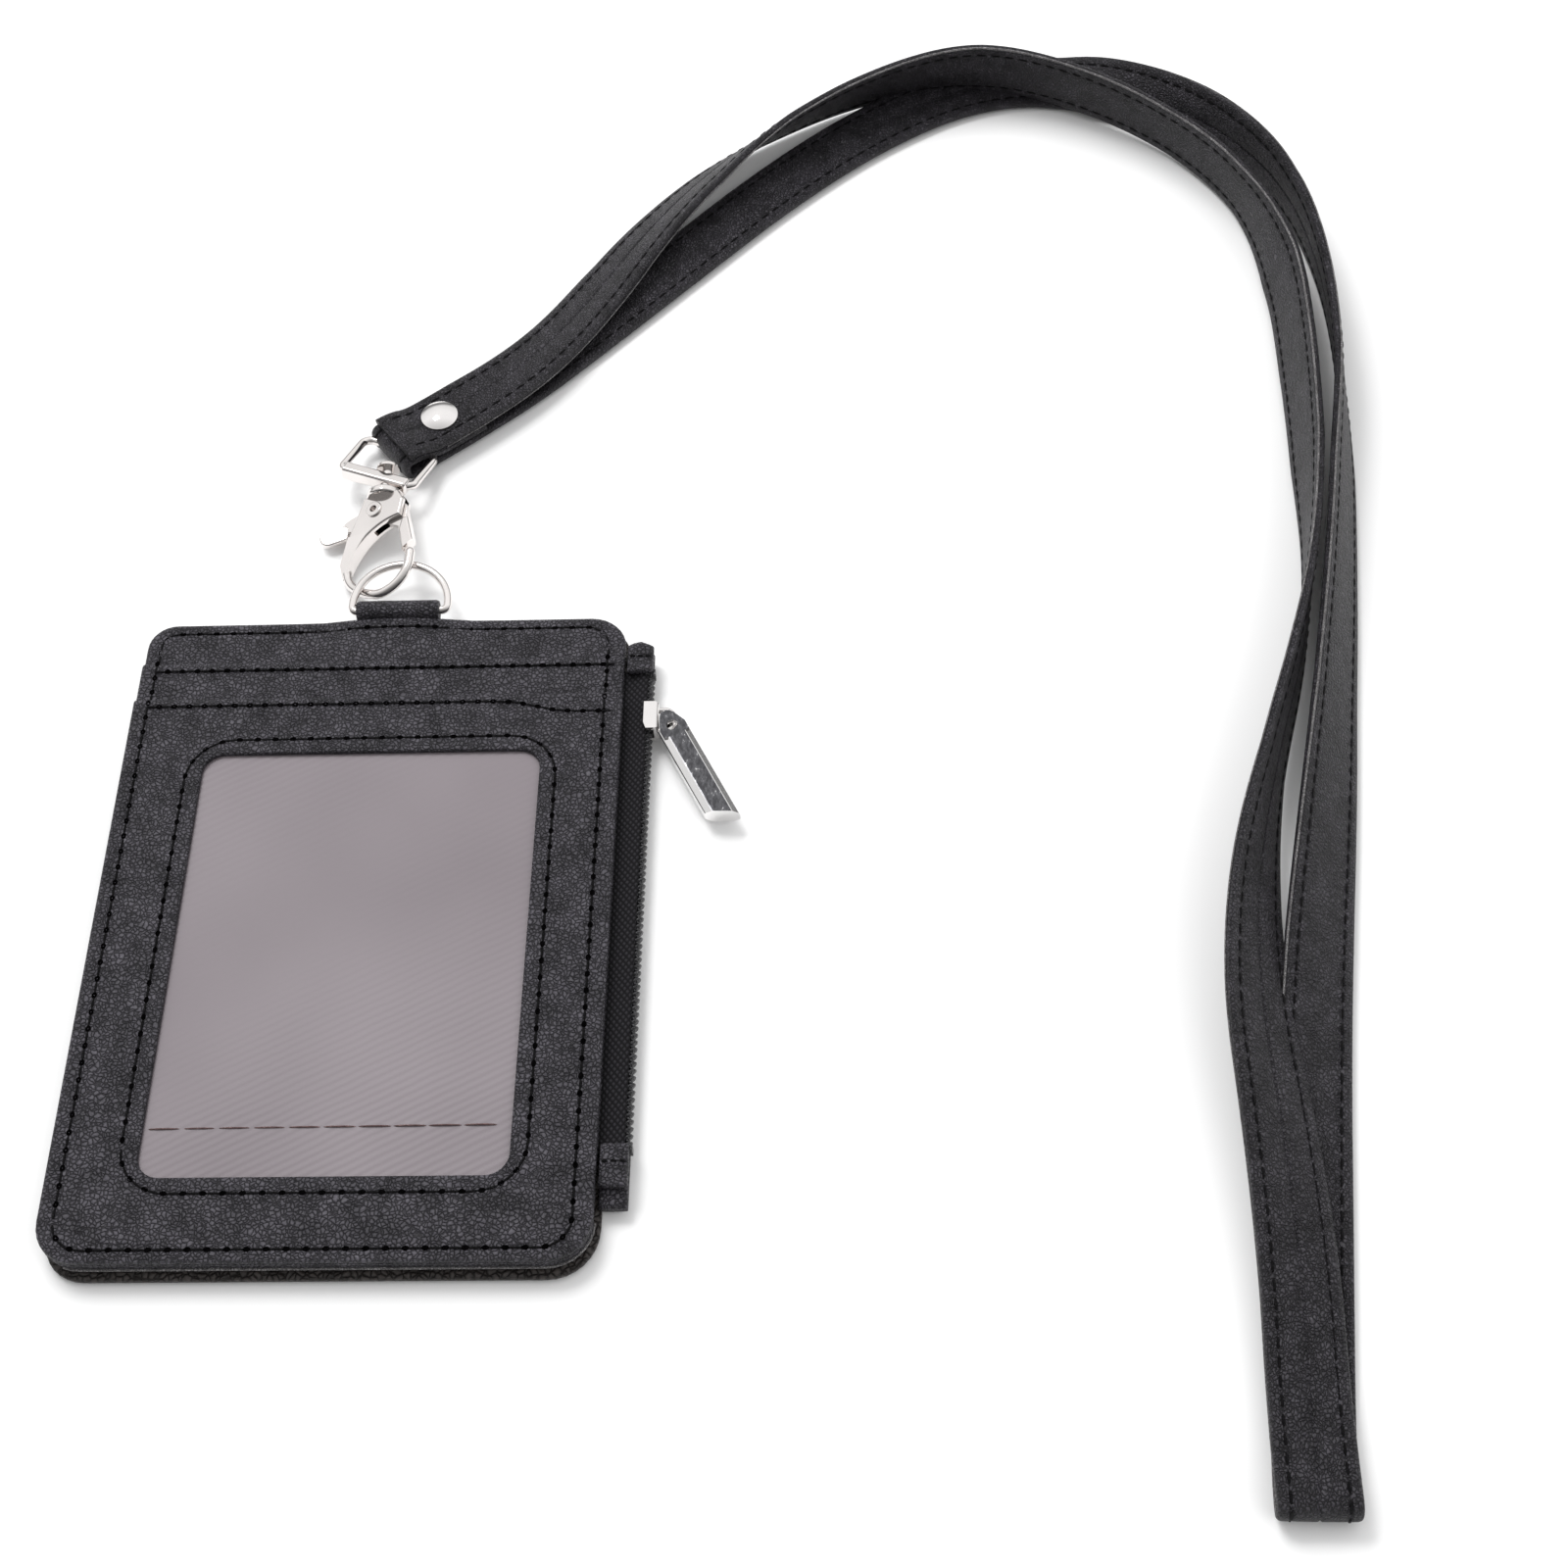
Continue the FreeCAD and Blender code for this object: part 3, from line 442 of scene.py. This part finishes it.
def across_vectors(route):
    """For each route point, the direction across the strap from its raw edge to its rolled edge."""
    result = []
    last = len(route) - 1
    for i, point in enumerate(route):
        a = Vector(route[max(0, i - 1)][:2])
        b = Vector(route[min(last, i + 1)][:2])
        if i == len(UPPER_LEG) - 1:
            a, b = Vector(route[i - 1][:2]), Vector(route[i][:2])
        if i == len(UPPER_LEG):
            a, b = Vector(route[i][:2]), Vector(route[i + 1][:2])
        way = (b - a).normalized()
        if i >= len(route) - WRAP_POINTS:
            way = -END_DIR.xy
        left = Vector((-way.y, way.x, 0.0))
        turn = math.radians(point[3])
        result.append(left * math.cos(turn) + Vector((0, 0, 1)) * math.sin(turn))
    return result


def strap_frames():
    """(place, along, across, out of the smooth side) for every step of the strap."""
    line = smooth_line(ROUTE)
    across = across_vectors(ROUTE)
    spans = len(ROUTE) - 2
    frames = []
    for k, p in enumerate(line):
        # the line passes half way between one route point and the next at each whole u
        u = spans * k / (len(line) - 1)
        c = min(max(u + 0.5, 0.0), len(ROUTE) - 1.001)
        i = int(c)
        side = across[i].lerp(across[i + 1], c - i)
        along = (line[min(k + 1, len(line) - 1)] - line[max(k - 1, 0)]).normalized()
        side = (side - along * side.dot(along)).normalized()
        out = along.cross(side).normalized()
        low = STRAP_W / 2 * abs(side.z) + STRAP_T / 2 * abs(out.z) + FLOOR_GAP
        if p.z < low:
            p = Vector((p.x, p.y, low))
        frames.append((p, along, side, out))
    return frames


# (across, out) round the strap's section, with a groove under each seam and one down the underside's middle
STRAP_PROFILE = [
    (-5.75, 0.0), (-5.7, 0.33), (-5.5, 0.56), (-5.1, 0.69), (-4.25, 0.72), (-3.9, 0.56), (-3.55, 0.71),
    (-1.6, 0.74), (1.6, 0.74), (3.55, 0.71), (3.9, 0.56), (4.25, 0.72), (5.1, 0.69), (5.5, 0.56),
    (5.7, 0.33), (5.75, 0.0), (5.7, -0.33), (5.5, -0.56), (5.1, -0.69), (4.25, -0.72), (3.9, -0.56),
    (3.55, -0.71), (0.3, -0.74), (0.0, -0.52), (-0.3, -0.74), (-3.55, -0.71), (-3.9, -0.56),
    (-4.25, -0.72), (-5.1, -0.69), (-5.5, -0.56), (-5.7, -0.33),
]
# (across, out) round a pale strip on the rolled edge's smooth side: a painted highlight
EDGE_HIGHLIGHT_PROFILE = [(5.46, 0.48), (5.80, 0.40), (5.76, 0.66), (5.50, 0.70)]
SEAM_ACROSS, SEAM_OUT, SEAM_PITCH = 3.9, 0.60, 2.7


def strap_rings(frames, profile):
    """One section for each step of the strap."""
    return [[p + side * a + out * b for a, b in profile] for p, along, side, out in frames]


def build_strap():
    """The flat neck strap, its four rows of thread and a painted highlight along its rolled edge."""
    frames = strap_frames()
    verts, faces = loft(strap_rings(frames, STRAP_PROFILE), True, True)
    strap = add_mesh("neck_strap_leather", verts, faces, STRAP, "strap", ["neck_strap"])
    # face 1 is the smooth side, -1 the underside
    for name, row, face in (("a", SEAM_ACROSS, 1), ("b", -SEAM_ACROSS, 1),
                            ("c", SEAM_ACROSS, -1), ("d", -SEAM_ACROSS, -1)):
        line = [p + side * row + out * (SEAM_OUT * face) for p, along, side, out in frames]
        spots = []
        for place, along in along_line(line, SEAM_PITCH, 1.2):
            near = min(frames, key=lambda f: (f[0] - place).length)
            spots.append((place, along, near[3] * face))
        verts, faces = stitch_mesh(spots[:-1], 1.9, 0.42, 0.34)
        add_mesh("neck_strap_thread_" + name, verts, faces, THREAD, "strap")
    # the painted highlight along the rolled edge stops short of both ends, where the strap closes on the
    # swivel loop
    clear = frames[2 * STEPS:-9 * STEPS]
    verts, faces = loft(strap_rings(clear, EDGE_HIGHLIGHT_PROFILE), True, True)
    add_mesh("neck_strap_edge_highlight", verts, faces, EDGE_HIGHLIGHT, "strap")


build_strap()


# ---------------------------------------------------------------- holder panels
# half width, half height and corner radius
W, H, R = 40.0, 57.0, 6.5
# heights of the undersides of the base panel, slot panel and window panel, and of the front
Z_BASE, Z_SLOT, Z_FILM, Z_TOP = 2.2, 2.95, 3.7, 4.65
# the window, as x from and to, y from and to
OPEN = (-27.2, 27.4, -43.8, 30.2)
SEAM_AROUND_WINDOW = 2.6
TAB_X, TAB_W = 1.4, 13.8
SLOT_Y, MOUTH_Y = 49.1, 41.2


def tab_lift(x, y):
    """The front swells a little where the hang tab lies between the layers."""
    across = 1 / (1 + (abs(x - TAB_X) / 8.2) ** 6)
    down = min(1.0, max(0.0, (y - 47.0) / 7.0))
    return 1.2 * across * down * down * (3 - 2 * down)


def panel_rings(box, radii, z0, z1, insets, lift=None):
    """Rings from the underside's edge, over the rolled rim and in along the top."""
    x0, x1, y0, y1 = box
    rim = [(0.3, z0), (0.06, z0 + 0.12), (0.0, (z0 + z1) / 2), (0.1, z1 - 0.16), (0.35, z1 - 0.03)]
    rings = []
    for inset, z in rim + [(i, z1 + dz) for i, dz in insets]:
        ring = []
        for x, y in outline(x0, x1, y0, y1, radii, inset):
            rise = lift(x, y) if lift else 0.0
            ring.append(Vector((x, y, z + rise)))
        rings.append(ring)
    return rings


# (inset, rise): a rolled rim, the seam's groove and the flat beyond it
RIM = [(0.9, 0.04), (1.6, 0.03), (1.95, -0.13), (2.35, 0.02), (3.4, 0.0), (6.0, -0.02)]


def build_panels():
    """The holder's three front layers, each lower at its top than the one behind, and its back."""
    square_top = (R, R, 0.6, 0.6)
    insets = RIM + [(9.0, 0.0), (14.0, 0.0)]
    rings = panel_rings((-W - 0.4, W, -H, H + 0.5), (R, R, 6.0, 4.6), Z_BASE, Z_SLOT, insets, tab_lift)
    verts, faces = loft(rings, True, True)
    add_mesh("base_panel_leather", verts, faces, LEATHER, "holder", ["base_panel"])
    rings = panel_rings((-W - 0.5, W, -H, SLOT_Y), square_top, Z_SLOT, Z_FILM, RIM)
    verts, faces = loft(rings, True, True)
    add_mesh("slot_panel_leather", verts, faces, LEATHER, "holder", ["slot_panel"])
    rings = panel_rings((-W - 0.5, W + 0.1, -H, MOUTH_Y), square_top, Z_FILM, Z_TOP, RIM[:5])
    # from the seam's groove round the window in to its edge and down to the film
    inner = [(-3.4, -0.01), (-2.95, 0.0), (-2.6, -0.12), (-2.25, 0.01), (-0.9, 0.03), (-0.3, -0.02),
             (-0.06, -0.14), (0.0, -0.35), (0.0, -0.72)]
    for inset, dz in inner:
        r = 3.5 - min(0.0, inset) * 0.6
        rings.append([Vector((x, y, Z_TOP + dz)) for x, y in outline(*OPEN, (r, r, r, r), inset)])
    verts, faces = loft(rings)
    add_mesh("window_panel_leather", verts, faces, LEATHER, "holder", ["window_panel"])
    back_box = (-W + 0.2, W + 0.9, -H - 1.3, H - 0.2)
    rings = panel_rings(back_box, (R, R + 1, R, R), 0.02, 1.1, [(0.9, 0.0), (6.0, 0.0)])
    # turned over, with its rolled rim towards the floor
    rings = [[Vector((p.x, p.y, 1.12 - p.z)) for p in ring] for ring in rings]
    verts, faces = loft(rings, True, True)
    faces = [tuple(reversed(f)) for f in faces]
    add_mesh("back_panel_leather", verts, faces, BACK, "holder", ["back_panel"])


def build_film():
    """The window's film, a little buckled between its seams."""
    x0, x1 = OPEN[0] - SEAM_AROUND_WINDOW, OPEN[1] + SEAM_AROUND_WINDOW
    y0, y1 = OPEN[2] - SEAM_AROUND_WINDOW, OPEN[3] + SEAM_AROUND_WINDOW
    nx, ny = 40, 54
    verts, faces = [], []
    for j in range(ny + 1):
        for i in range(nx + 1):
            u, v = i / nx, j / ny
            x, y = x0 + (x1 - x0) * u, y0 + (y1 - y0) * v
            inside = min(1.0, 6 * min(u, 1 - u, v, 1 - v))
            swell = 0.16 * inside * (0.5 + 0.5 * math.sin(5.2 * u + 2.6 * v) * math.cos(4.1 * v - 1.7 * u))
            verts.append((x, y, Z_FILM + 0.05 + swell))
    for j in range(ny):
        for i in range(nx):
            a = j * (nx + 1) + i
            faces.append((a, a + 1, a + nx + 2, a + nx + 1))
    add_mesh("window_film_sheet", verts, faces, FILM, "holder", ["window_film"])


def mouth_dip(x):
    """The seam under the window's slot drops towards the zip side."""
    t = min(1.0, max(0.0, (x - 20.0) / 12.0))
    return 2.2 * t * t * (3 - 2 * t)


def holder_threads():
    """The holder's rows of stitches, with a needle hole between each stitch and the next."""
    up, down = Vector((0, 0, 1)), Vector((0, 0, -1))

    def row(name, points, z_of, pitch, out, closed=False):
        flat = [(x, y, 0) for x, y in points]
        threads, pits = [], []
        for spots, start, sink in ((threads, 0.5, 0.0), (pits, 1.0, 0.09)):
            for place, along in along_line(flat, pitch, start, closed):
                height = z_of(place.x, place.y)
                spots.append((Vector((place.x, place.y, height)) + out * sink, along, out))
        verts, faces = stitch_mesh(threads, pitch - 0.85, 0.40, 0.30)
        add_mesh(name, verts, faces, THREAD, "holder")
        # the holes carry painted shade in their near black colour
        verts, faces = pit_mesh(pits, 1.15, 0.86)
        add_mesh(name + "_hole_shade", verts, faces, HOLE_SHADE, "holder")

    def front_z(x, y):
        if y > SLOT_Y:
            return Z_SLOT - 0.08 + tab_lift(x, y)
        return (Z_FILM if y > MOUTH_Y else Z_TOP) - 0.03

    edge = outline(-W + 0.1, W - 0.9, -H, H + 0.5, (R, R, 6.0, 4.8), 1.95, 40)
    row("front_edge_thread", edge, front_z, 2.85, up, True)
    line = [(-W + 1.5 + k * (2 * W - 3) / 24, SLOT_Y - 1.75) for k in range(25)]
    row("slot_mouth_thread", line, lambda x, y: Z_FILM - 0.02, 2.5, up)
    line = [(x, MOUTH_Y - 1.6 - mouth_dip(x)) for x, y in line]
    row("window_mouth_thread", line, lambda x, y: Z_TOP - 0.02, 2.5, up)
    ring = outline(*OPEN, (5.0, 5.0, 5.0, 5.0), -SEAM_AROUND_WINDOW, 30)
    row("window_thread", ring, lambda x, y: Z_TOP - 0.08, 2.9, up, True)
    row("back_edge_thread", edge, lambda x, y: 0.13, 2.85, down, True)
    spots = []
    seam = [(OPEN[0] + 0.5, OPEN[2] + 8.0, 0), (OPEN[1] - 0.5, OPEN[2] + 8.3, 0)]
    for place, along in along_line(seam, 5.2):
        spots.append((Vector((place.x, place.y, Z_FILM + 0.16)), along, up))
    verts, faces = stitch_mesh(spots, 4.9, 0.26, 0.34)
    add_mesh("film_thread", verts, faces, PINK_THREAD, "holder")


def build_edge_highlight():
    """A painted highlight: a pale line along the front layers' bottom edge and round the lower right corner.
    """
    points = outline(-W, W, -H, H, (R, R, R, R), 0.0, 40)
    shown = [p for p in points if p[1] < -H + 9.0 and p[0] > -W + 3.0]
    thick, around = 0.2, 8
    rings = []
    for k, (x, y) in enumerate(shown):
        ax, ay = shown[max(0, k - 1)]
        bx, by = shown[min(len(shown) - 1, k + 1)]
        out = Vector((by - ay, ax - bx, 0)).normalized()
        ring = []
        for i in range(around):
            a = 2 * math.pi * i / around
            level = Vector((x, y, Z_BASE + 0.1 + thick * math.sin(a)))
            ring.append(level + out * (0.12 + thick * math.cos(a)))
        rings.append(ring)
    verts, faces = loft(rings, True, True)
    # painted highlight along the edge
    add_mesh("front_edge_highlight", verts, faces, EDGE_HIGHLIGHT, "holder")


build_panels()
build_film()
holder_threads()
build_edge_highlight()


# ---------------------------------------------------------------- hang tab
def build_hang_tab():
    """Leather strip folded round the ring's bar, as a side profile drawn out across the tab."""
    # the bar's y and z, and the radius of the leather round it
    by, bz, r_out = 59.2, 3.6, 1.72
    profile = [(50.0, 1.36), (57.0, 1.36), (58.2, 1.5)]
    fold_steps = 14
    for i in range(fold_steps + 1):
        a = math.radians(-105 + 250 * i / fold_steps)
        profile.append((by + r_out * math.cos(a), bz + r_out * math.sin(a)))
    profile += [(57.6, 4.1), (57.3, 2.7), (56.9, 1.97), (50.0, 1.95)]
    x0, x1 = TAB_X - TAB_W / 2, TAB_X + TAB_W / 2
    steps = 28
    rings = []
    for k in range(steps + 1):
        t = k / steps
        x = x0 + (x1 - x0) * t
        # the fold is rounded off over its last 0.45 mm at each side
        near = min(t, 1 - t) * TAB_W
        pinch = 0.10 * max(0.0, 1 - near / 0.45)
        ring = []
        for y, z in profile:
            dy, dz = y - by, z - bz
            keep = 1 - pinch if y > 57.5 else 1.0
            ring.append(Vector((x, by + dy * keep, bz + dz * keep)))
        rings.append(ring)
    verts, faces = loft(rings, True, True)
    add_mesh("hang_tab_leather", verts, faces, LEATHER, "holder", ["hang_tab"])


build_hang_tab()


# ---------------------------------------------------------------- zip
# the coil's middle line, its two ends, and the leather ends' width
ZIP_X, ZIP_Z = 44.3, 2.35
ZIP_Y0, ZIP_Y1 = -39.6, 46.4
END_X0, END_X1 = 40.45, 44.75
TAPE_HALF_T = 0.13
TOOTH_PITCH = 1.18
# half sizes of a tooth, and how far it leans along the zip for each millimetre across
HIGH_TOOTH, HIGH_LEAN = Vector((0.80, 0.40, 0.82)), 0.42
LOW_TOOTH, LOW_LEAN = Vector((0.62, 0.34, 0.6)), -0.5


def build_tapes():
    """Two tapes that leave the pocket flat and close on the coil."""
    rows = 60
    for node, side in (("zip_tape_front", 1), ("zip_tape_back", -1)):
        path = [(33.0, 1.78), (38.0, 1.78), (40.4, 1.82 + 0.14 * side), (42.0, 2.0 + 0.34 * side),
                (43.2, ZIP_Z + 0.44 * side), (44.0, ZIP_Z + 0.46 * side)]
        n = len(path)
        verts, faces = [], []
        for j in range(rows + 1):
            y = ZIP_Y0 + (ZIP_Y1 - ZIP_Y0) * j / rows
            wave = 0.05 * math.sin(y * 0.55)
            for thick in (TAPE_HALF_T, -TAPE_HALF_T):
                for x, z in path:
                    verts.append((x, y, z + side * 0.17 + thick + wave * (x - 38) * 0.12))
        for j in range(rows):
            a, b = 2 * n * j, 2 * n * (j + 1)
            for i in range(n - 1):
                faces.append((a + i, a + i + 1, b + i + 1, b + i))
                faces.append((a + n + i + 1, a + n + i, b + n + i, b + n + i + 1))
            faces.append((a + n - 1, a + 2 * n - 1, b + 2 * n - 1, b + n - 1))
        add_mesh(node + "_weave", verts, faces, TAPE, "holder", [node])


def build_teeth():
    """The closed coil: one slanted nylon loop after another, with a low one between each pair."""
    verts, faces = [], []
    around, rows = 12, 8
    count = int((ZIP_Y1 - ZIP_Y0 - 2) / TOOTH_PITCH)
    for k in range(2 * count):
        y = ZIP_Y0 + 1.2 + TOOTH_PITCH * k / 2
        high = k % 2 == 0
        half, lean = (HIGH_TOOTH, HIGH_LEAN) if high else (LOW_TOOTH, LOW_LEAN)
        base = len(verts)
        for j in range(rows + 1):
            b = -math.pi / 2 + math.pi * j / rows
            for i in range(around):
                a = 2 * math.pi * i / around
                dx = half.x * math.cos(b) * math.cos(a)
                dz = half.z * math.cos(b) * math.sin(a)
                verts.append((ZIP_X + dx, y + half.y * math.sin(b) + lean * dx, ZIP_Z + dz))
        faces += ring_quads(base, rows + 1, around)
    add_mesh("zip_coil_teeth", verts, faces, TEETH, "holder", ["zip_coil"])


def folded_strip(y0, y1, x0, x1, z0, z1, slant):
    """A strip of leather folded over the zip, its outer corner cut on a slant."""
    rings = []
    steps, around = 18, 24
    for k in range(steps + 1):
        t = k / steps
        end = min(t, 1 - t)
        shrink = 0.22 * max(0.0, 1 - end / 0.08)
        pinch = 0.22 * math.exp(-((t - 0.5) / 0.07) ** 2)
        half = (z1 - z0) / 2 - pinch - shrink
        ring = []
        for i in range(around):
            a = math.pi * 2 * i / around
            # powers below one make the round section nearly square
            c, s = math.cos(a), math.sin(a)
            x = (x0 + x1) / 2 + (x1 - x0) / 2 * (abs(c) ** 0.45) * (1 if c > 0 else -1)
            z = (z0 + z1) / 2 + half * (abs(s) ** 0.55) * (1 if s > 0 else -1)
            y = y0 + (y1 - y0) * t - slant * t * abs(x - (x0 + 0.45 * (x1 - x0))) / (x1 - x0)
            ring.append(Vector((x, y, z)))
        rings.append(ring)
    return loft(rings, True, True)


def build_zip_end(name, node, layers, seam_y, slant):
    """Leather over the end of the zip in two layers, stitched across near the middle."""
    verts, faces = [], []
    # each layer is (y from, y to, z from, z to)
    for y0, y1, z0, z1 in layers:
        more, quads = folded_strip(y0, y1, END_X0, END_X1, z0, z1, slant)
        faces += [tuple(i + len(verts) for i in f) for f in quads]
        verts += more
    add_mesh(name, verts, faces, LEATHER, "holder", [node])
    top = layers[0][3]
    across, up = Vector((1, 0, 0)), Vector((0, 0, 1))
    spots = [(Vector((x, seam_y, top - 0.16)), across, up) for x in (41.3, 42.6, 43.9)]
    verts, faces = stitch_mesh(spots, 0.95, 0.42, 0.34)
    add_mesh(name + "_thread", verts, faces, THREAD, "holder")


build_tapes()
build_teeth()
build_zip_end("zip_end_top_leather", "zip_end_top",
              [(45.7, 51.6, 2.5, 4.3), (45.9, 51.3, 0.6, 2.4)], 48.6, 1.8)
build_zip_end("zip_end_bottom_leather", "zip_end_bottom",
              [(-45.4, -38.8, 2.5, 4.3), (-48.1, -39.0, 0.6, 2.4)], -41.6, 0.0)


# ---------------------------------------------------------------- CAD pieces that show as they are
SHARP_ANGLE = math.radians(32)


def finish_cad(nodes, mat):
    """A finish for CAD pieces, shaded smooth except across their sharp edges."""
    for name in nodes:
        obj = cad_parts[name]
        obj.data.materials.clear()
        obj.data.materials.append(mat)
        obj.data.polygons.foreach_set("use_smooth", [True] * len(obj.data.polygons))
        obj.data.set_sharp_from_angle(angle=SHARP_ANGLE)


finish_cad(["clasp_hook", "clasp_gate", "gate_pin", "gate_spring", "swivel_post", "swivel_loop", "d_ring"],
           NICKEL)
finish_cad(["rivet_cap", "rivet_base", "zip_slider", "zip_bail"], CHROME)
# painted dark reflection on the pull's flat front
finish_cad(["zip_pull"], DARK_REFLECTION_PLATE)
finish_cad(["zip_top_stop", "zip_bottom_stop"], TEETH)
finish_cad(["back_lining", "pocket_lining"], LINING)


# ---------------------------------------------------------------- floor, light and camera
def build_stage():
    """A wide sheet of white paper just under the part."""
    half, z = 3.0, -0.0004
    mesh = bpy.data.meshes.new("floor")
    corners = [(-half, -half, z), (half, -half, z), (half, half, z), (-half, half, z)]
    mesh.from_pydata(corners, [], [(0, 1, 2, 3)])
    floor = link_object("floor", mesh)
    mat, _, bsdf = new_material("floor_paper", (0.93, 0.93, 0.93), 0.9)
    bsdf.inputs["Specular IOR Level"].default_value = 0.1
    mesh.materials.append(mat)


def build_lights():
    """A soft studio sky, brighter overhead and on the far side, and three area lights."""
    world = bpy.data.worlds.new("studio")
    bpy.context.scene.world = world
    world.use_nodes = True
    tree = world.node_tree
    background = tree.nodes["Background"]
    coords = tree.nodes.new("ShaderNodeTexCoord")
    split = tree.nodes.new("ShaderNodeSeparateXYZ")
    tree.links.new(coords.outputs["Generated"], split.inputs["Vector"])
    bands = [(0.0, grey(0.42)), (0.16, grey(0.15)), (0.36, grey(0.85)), (0.7, grey(1.0))]
    sky = ramp(tree, split.outputs["Z"], bands)
    near = tree.nodes.new("ShaderNodeMapRange")
    near.inputs["From Min"].default_value = -0.75
    near.inputs["From Max"].default_value = 0.35
    near.inputs["To Min"].default_value = 0.19
    near.inputs["To Max"].default_value = 1.08
    tree.links.new(split.outputs["Y"], near.inputs["Value"])
    tree.links.new(sky, background.inputs["Color"])
    tree.links.new(near.outputs["Result"], background.inputs["Strength"])

    middle = Vector((0.04, 0.05, 0.0))

    def area(name, at, size, power, glossy=False):
        data = bpy.data.lights.new(name, "AREA")
        data.shape = "RECTANGLE"
        data.size, data.size_y = size
        data.energy = power
        lamp = link_object(name, data)
        lamp.location = at
        lamp.rotation_euler = (middle - Vector(at)).to_track_quat("-Z", "Y").to_euler()
        lamp.visible_glossy = glossy

    # of these three, only the small glint shows in the metal
    area("key", (-0.35, 0.65, 0.9), (0.7, 0.5), 8.0)
    area("fill", (0.7, -0.5, 0.8), (0.8, 0.8), 3.2)
    area("glint", (-0.25, 0.45, 0.9), (0.2, 0.2), 1.1, True)


def build_camera():
    """The camera looks steeply down from the near side, a little turned and rolled."""
    # angles in radians, the place in metres, the focal length in millimetres
    yaw, pitch, roll = -0.0811455, 0.9906878, -0.0833984
    place = (0.08401, -0.19208, 0.3334)
    focal = 57.09
    look = Vector((math.sin(yaw) * math.cos(pitch), math.cos(yaw) * math.cos(pitch), -math.sin(pitch)))
    level = Vector((math.cos(yaw), -math.sin(yaw), 0.0))
    above = level.cross(look)
    right = level * math.cos(roll) + above * math.sin(roll)
    up = level * -math.sin(roll) + above * math.cos(roll)
    data = bpy.data.cameras.new("camera")
    data.lens = focal
    data.sensor_width = 36.0
    data.clip_start = 0.01
    camera = link_object("camera", data)
    turn = Matrix((right, up, -look)).transposed().to_4x4()
    camera.matrix_world = Matrix.Translation(place) @ turn
    bpy.context.scene.camera = camera


build_stage()
build_lights()
build_camera()
bpy.context.scene.view_settings.view_transform = "Standard"
